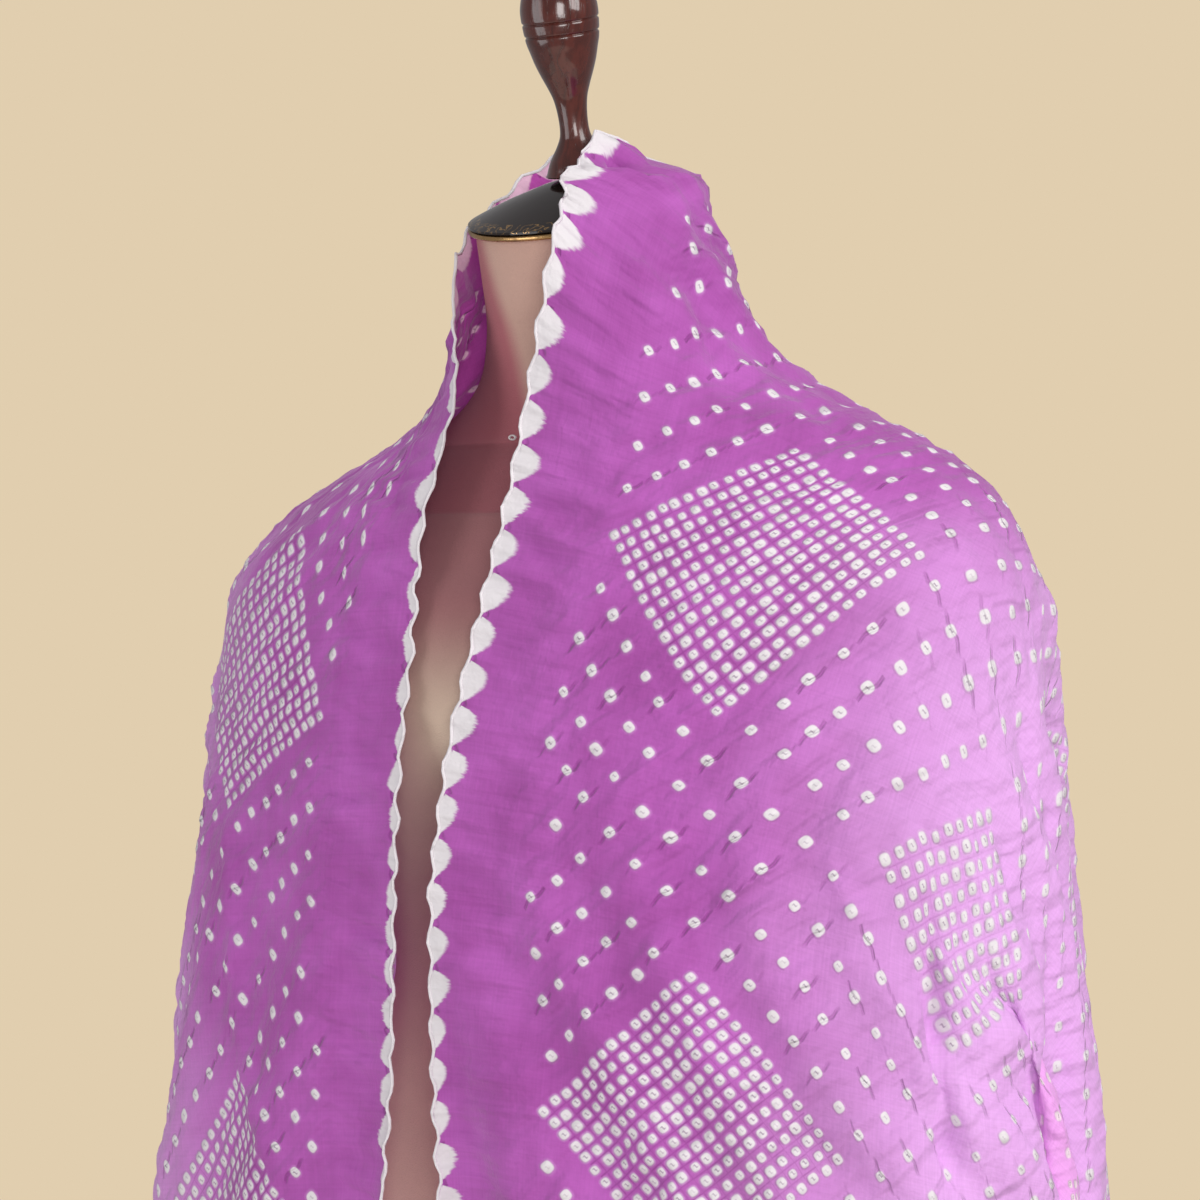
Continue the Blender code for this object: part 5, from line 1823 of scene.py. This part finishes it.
class BandhaniDyeSettings(bpy.types.PropertyGroup):
    main_color: color_setting("Dye", "Colour of the dyed ground", (0.46, 0.112, 0.460, 1.0))
    shade_color: color_setting("Deep Dye", "Colour where the dye is deepest", (0.345, 0.070, 0.330, 1.0))
    pale_color: color_setting("Faded Dye", "Colour towards the pale side", (0.70, 0.37, 0.75, 1.0))
    # Painted shade in the creases between dots and in the loop dents.
    crease_shade_color: color_setting("Crease Dye", "Colour in the creases between dots", (0.20, 0.020, 0.19, 1.0))
    undyed_color: color_setting("Undyed", "Colour of the tied dots and the border", (0.72, 0.69, 0.71, 1.0))


class DressFormSettings(bpy.types.PropertyGroup):
    neck_color: color_setting("Neck", "Jersey on the neck", (0.58, 0.37, 0.30, 1.0))
    # Painted reddish shade cast by the far collar on the neck.
    neck_shade_color: color_setting("Tinted Neck", "Neck beside the dyed cloth", (0.42, 0.13, 0.15, 1.0))
    # This and the yoke colour: painted shade under the collar, reddened by light off the dyed cloth.
    bib_shade_color: color_setting("Top of the Chest", "Jersey just below the yoke", (0.30, 0.125, 0.130, 1.0))
    yoke_shade_color: color_setting("Yoke", "Jersey between the neck seam and the chest", (0.30, 0.095, 0.11, 1.0))
    cream_color: color_setting("Chest", "Jersey over the chest", (0.70, 0.57, 0.43, 1.0))
    # Painted lighter to make up for the shade between the cloth's front edges.
    hip_lightened_color: color_setting("Hip", "Jersey below the waist", (0.92, 0.72, 0.54, 1.0))
    lacquer_color: color_setting("Neck Cap", "Lacquer of the neck cap", (0.016, 0.011, 0.010, 1.0))
    gilt_color: color_setting("Gilt", "Ring under the neck cap", (0.62, 0.38, 0.16, 1.0))
    wood_color: color_setting("Wood", "Turned wood of the finial and the stand", (0.072, 0.013, 0.008, 1.0))


class StudioSettings(bpy.types.PropertyGroup):
    backdrop_color: color_setting("Backdrop", "Colour behind the form", (0.753, 0.617, 0.429, 1.0))
    ambient_color: color_setting("Ambient Tint", "Tint of the light from all around", (0.95, 0.93, 0.95, 1.0))
    floor_color: color_setting("Floor", "Colour of the floor", (0.70, 0.66, 0.60, 1.0))
    floor_radius: length_setting("Floor Radius", "Radius of the round floor", 1.6, 0.5, 3.0)
    ambient: bpy.props.FloatProperty(name="Ambient", description="Strength of the light from all around",
                                     default=0.30, min=0.0, max=2.0)
    key_power: power_setting("Key", "Power of the main soft light", 34.0)
    front_power: power_setting("Front", "Power of the soft light by the camera", 34.0)
    back_power: power_setting("Back", "Power of the soft light behind", 24.0)
    fill_power: power_setting("Fill", "Power of the soft light on the shade side", 14.0)


# ---------------------------------------------------------------- operators


class BANDHANI_OT_drape_cloth(bpy.types.Operator):
    """Drape the tied cloth over the form and roll its hem"""

    bl_idname = "bandhani.drape_cloth"
    bl_label = "Drape Cloth"
    bl_options = {"REGISTER", "UNDO"}

    def execute(self, context):
        sizes = context.scene.bandhani_cloth
        cloth, hem = make_cloth(sizes)
        material = cotton_material(context.scene.bandhani_dye, shared_groups())
        for piece in (cloth, hem):
            dress(piece, material)
            hang(piece, "cloth")
        return {"FINISHED"}


class BANDHANI_OT_add_form(bpy.types.Operator):
    """Add the padded form in its jersey cover"""

    bl_idname = "bandhani.add_form"
    bl_label = "Add Dress Form"
    bl_options = {"REGISTER", "UNDO"}

    def execute(self, context):
        torso = make_torso()
        dress(torso, jersey_material(context.scene.bandhani_form))
        hang(torso, "torso")
        knot = make_knot()
        dress(knot, thread_material())
        hang(knot, None)
        return {"FINISHED"}


class BANDHANI_OT_add_neck_fittings(bpy.types.Operator):
    """Add the ring, the domed cap and the finial on the neck"""

    bl_idname = "bandhani.add_neck_fittings"
    bl_label = "Add Neck Fittings"
    bl_options = {"REGISTER", "UNDO"}

    def execute(self, context):
        form, groups = context.scene.bandhani_form, shared_groups()
        ring, cap, finial = make_cap_ring(), make_neck_cap(), make_finial()
        dress(ring, gilt_material(form, groups))
        dress(cap, lacquer_material(form, groups))
        dress(finial, wood_material("Polished Finial Wood", form.wood_color, groups, 0.7, 0.14))
        hang(ring, "cap_ring")
        hang(cap, "neck_cap")
        hang(finial, "finial")
        return {"FINISHED"}


class BANDHANI_OT_add_stand(bpy.types.Operator):
    """Add the pole and the round base"""

    bl_idname = "bandhani.add_stand"
    bl_label = "Add Stand"
    bl_options = {"REGISTER", "UNDO"}

    def execute(self, context):
        wood = wood_material("Satin Stand Wood", context.scene.bandhani_form.wood_color, shared_groups(),
                             0.5, 0.28)
        pole, base = make_pole(), make_base()
        for piece, node in ((pole, "pole"), (base, "base")):
            dress(piece, wood)
            hang(piece, node)
        return {"FINISHED"}


class BANDHANI_OT_set_studio(bpy.types.Operator):
    """Add the floor, the soft lights, the backdrop colour and the camera"""

    bl_idname = "bandhani.set_studio"
    bl_label = "Set Up Studio"
    bl_options = {"REGISTER", "UNDO"}

    def execute(self, context):
        stage = context.scene.bandhani_studio
        make_floor(stage)
        make_backdrop(stage)
        for light in LIGHTS:
            add_light(light, getattr(stage, light.power))
        make_camera()
        return {"FINISHED"}


class BANDHANI_PT_sidebar(bpy.types.Panel):
    bl_label = "Bandhani Cloth"
    bl_idname = "BANDHANI_PT_sidebar"
    bl_space_type = "VIEW_3D"
    bl_region_type = "UI"
    bl_category = "Bandhani"

    def draw(self, context):
        layout = self.layout
        for operator in OPERATORS:
            layout.operator(operator.bl_idname)
        for name, label, settings in SETTINGS:
            box = layout.box()
            box.label(text=label)
            for setting in settings.__annotations__:
                box.prop(getattr(context.scene, name), setting)


SETTINGS = (
    ("bandhani_cloth", "Cloth", BandhaniClothSettings),
    ("bandhani_dye", "Dye", BandhaniDyeSettings),
    ("bandhani_form", "Dress Form", DressFormSettings),
    ("bandhani_studio", "Studio", StudioSettings),
)
OPERATORS = (
    BANDHANI_OT_add_stand,
    BANDHANI_OT_add_form,
    BANDHANI_OT_add_neck_fittings,
    BANDHANI_OT_drape_cloth,
    BANDHANI_OT_set_studio,
)


def register():
    for name, _, settings in SETTINGS:
        bpy.utils.register_class(settings)
        setattr(bpy.types.Scene, name, bpy.props.PointerProperty(type=settings))
    for operator in OPERATORS:
        bpy.utils.register_class(operator)
    bpy.utils.register_class(BANDHANI_PT_sidebar)


def unregister():
    bpy.utils.unregister_class(BANDHANI_PT_sidebar)
    for operator in reversed(OPERATORS):
        bpy.utils.unregister_class(operator)
    for name, _, settings in reversed(SETTINGS):
        delattr(bpy.types.Scene, name)
        bpy.utils.unregister_class(settings)


def main():
    register()
    bpy.ops.bandhani.add_stand()
    bpy.ops.bandhani.add_form()
    bpy.ops.bandhani.add_neck_fittings()
    bpy.ops.bandhani.drape_cloth()
    bpy.ops.bandhani.set_studio()


if __name__ == "__main__":
    main()
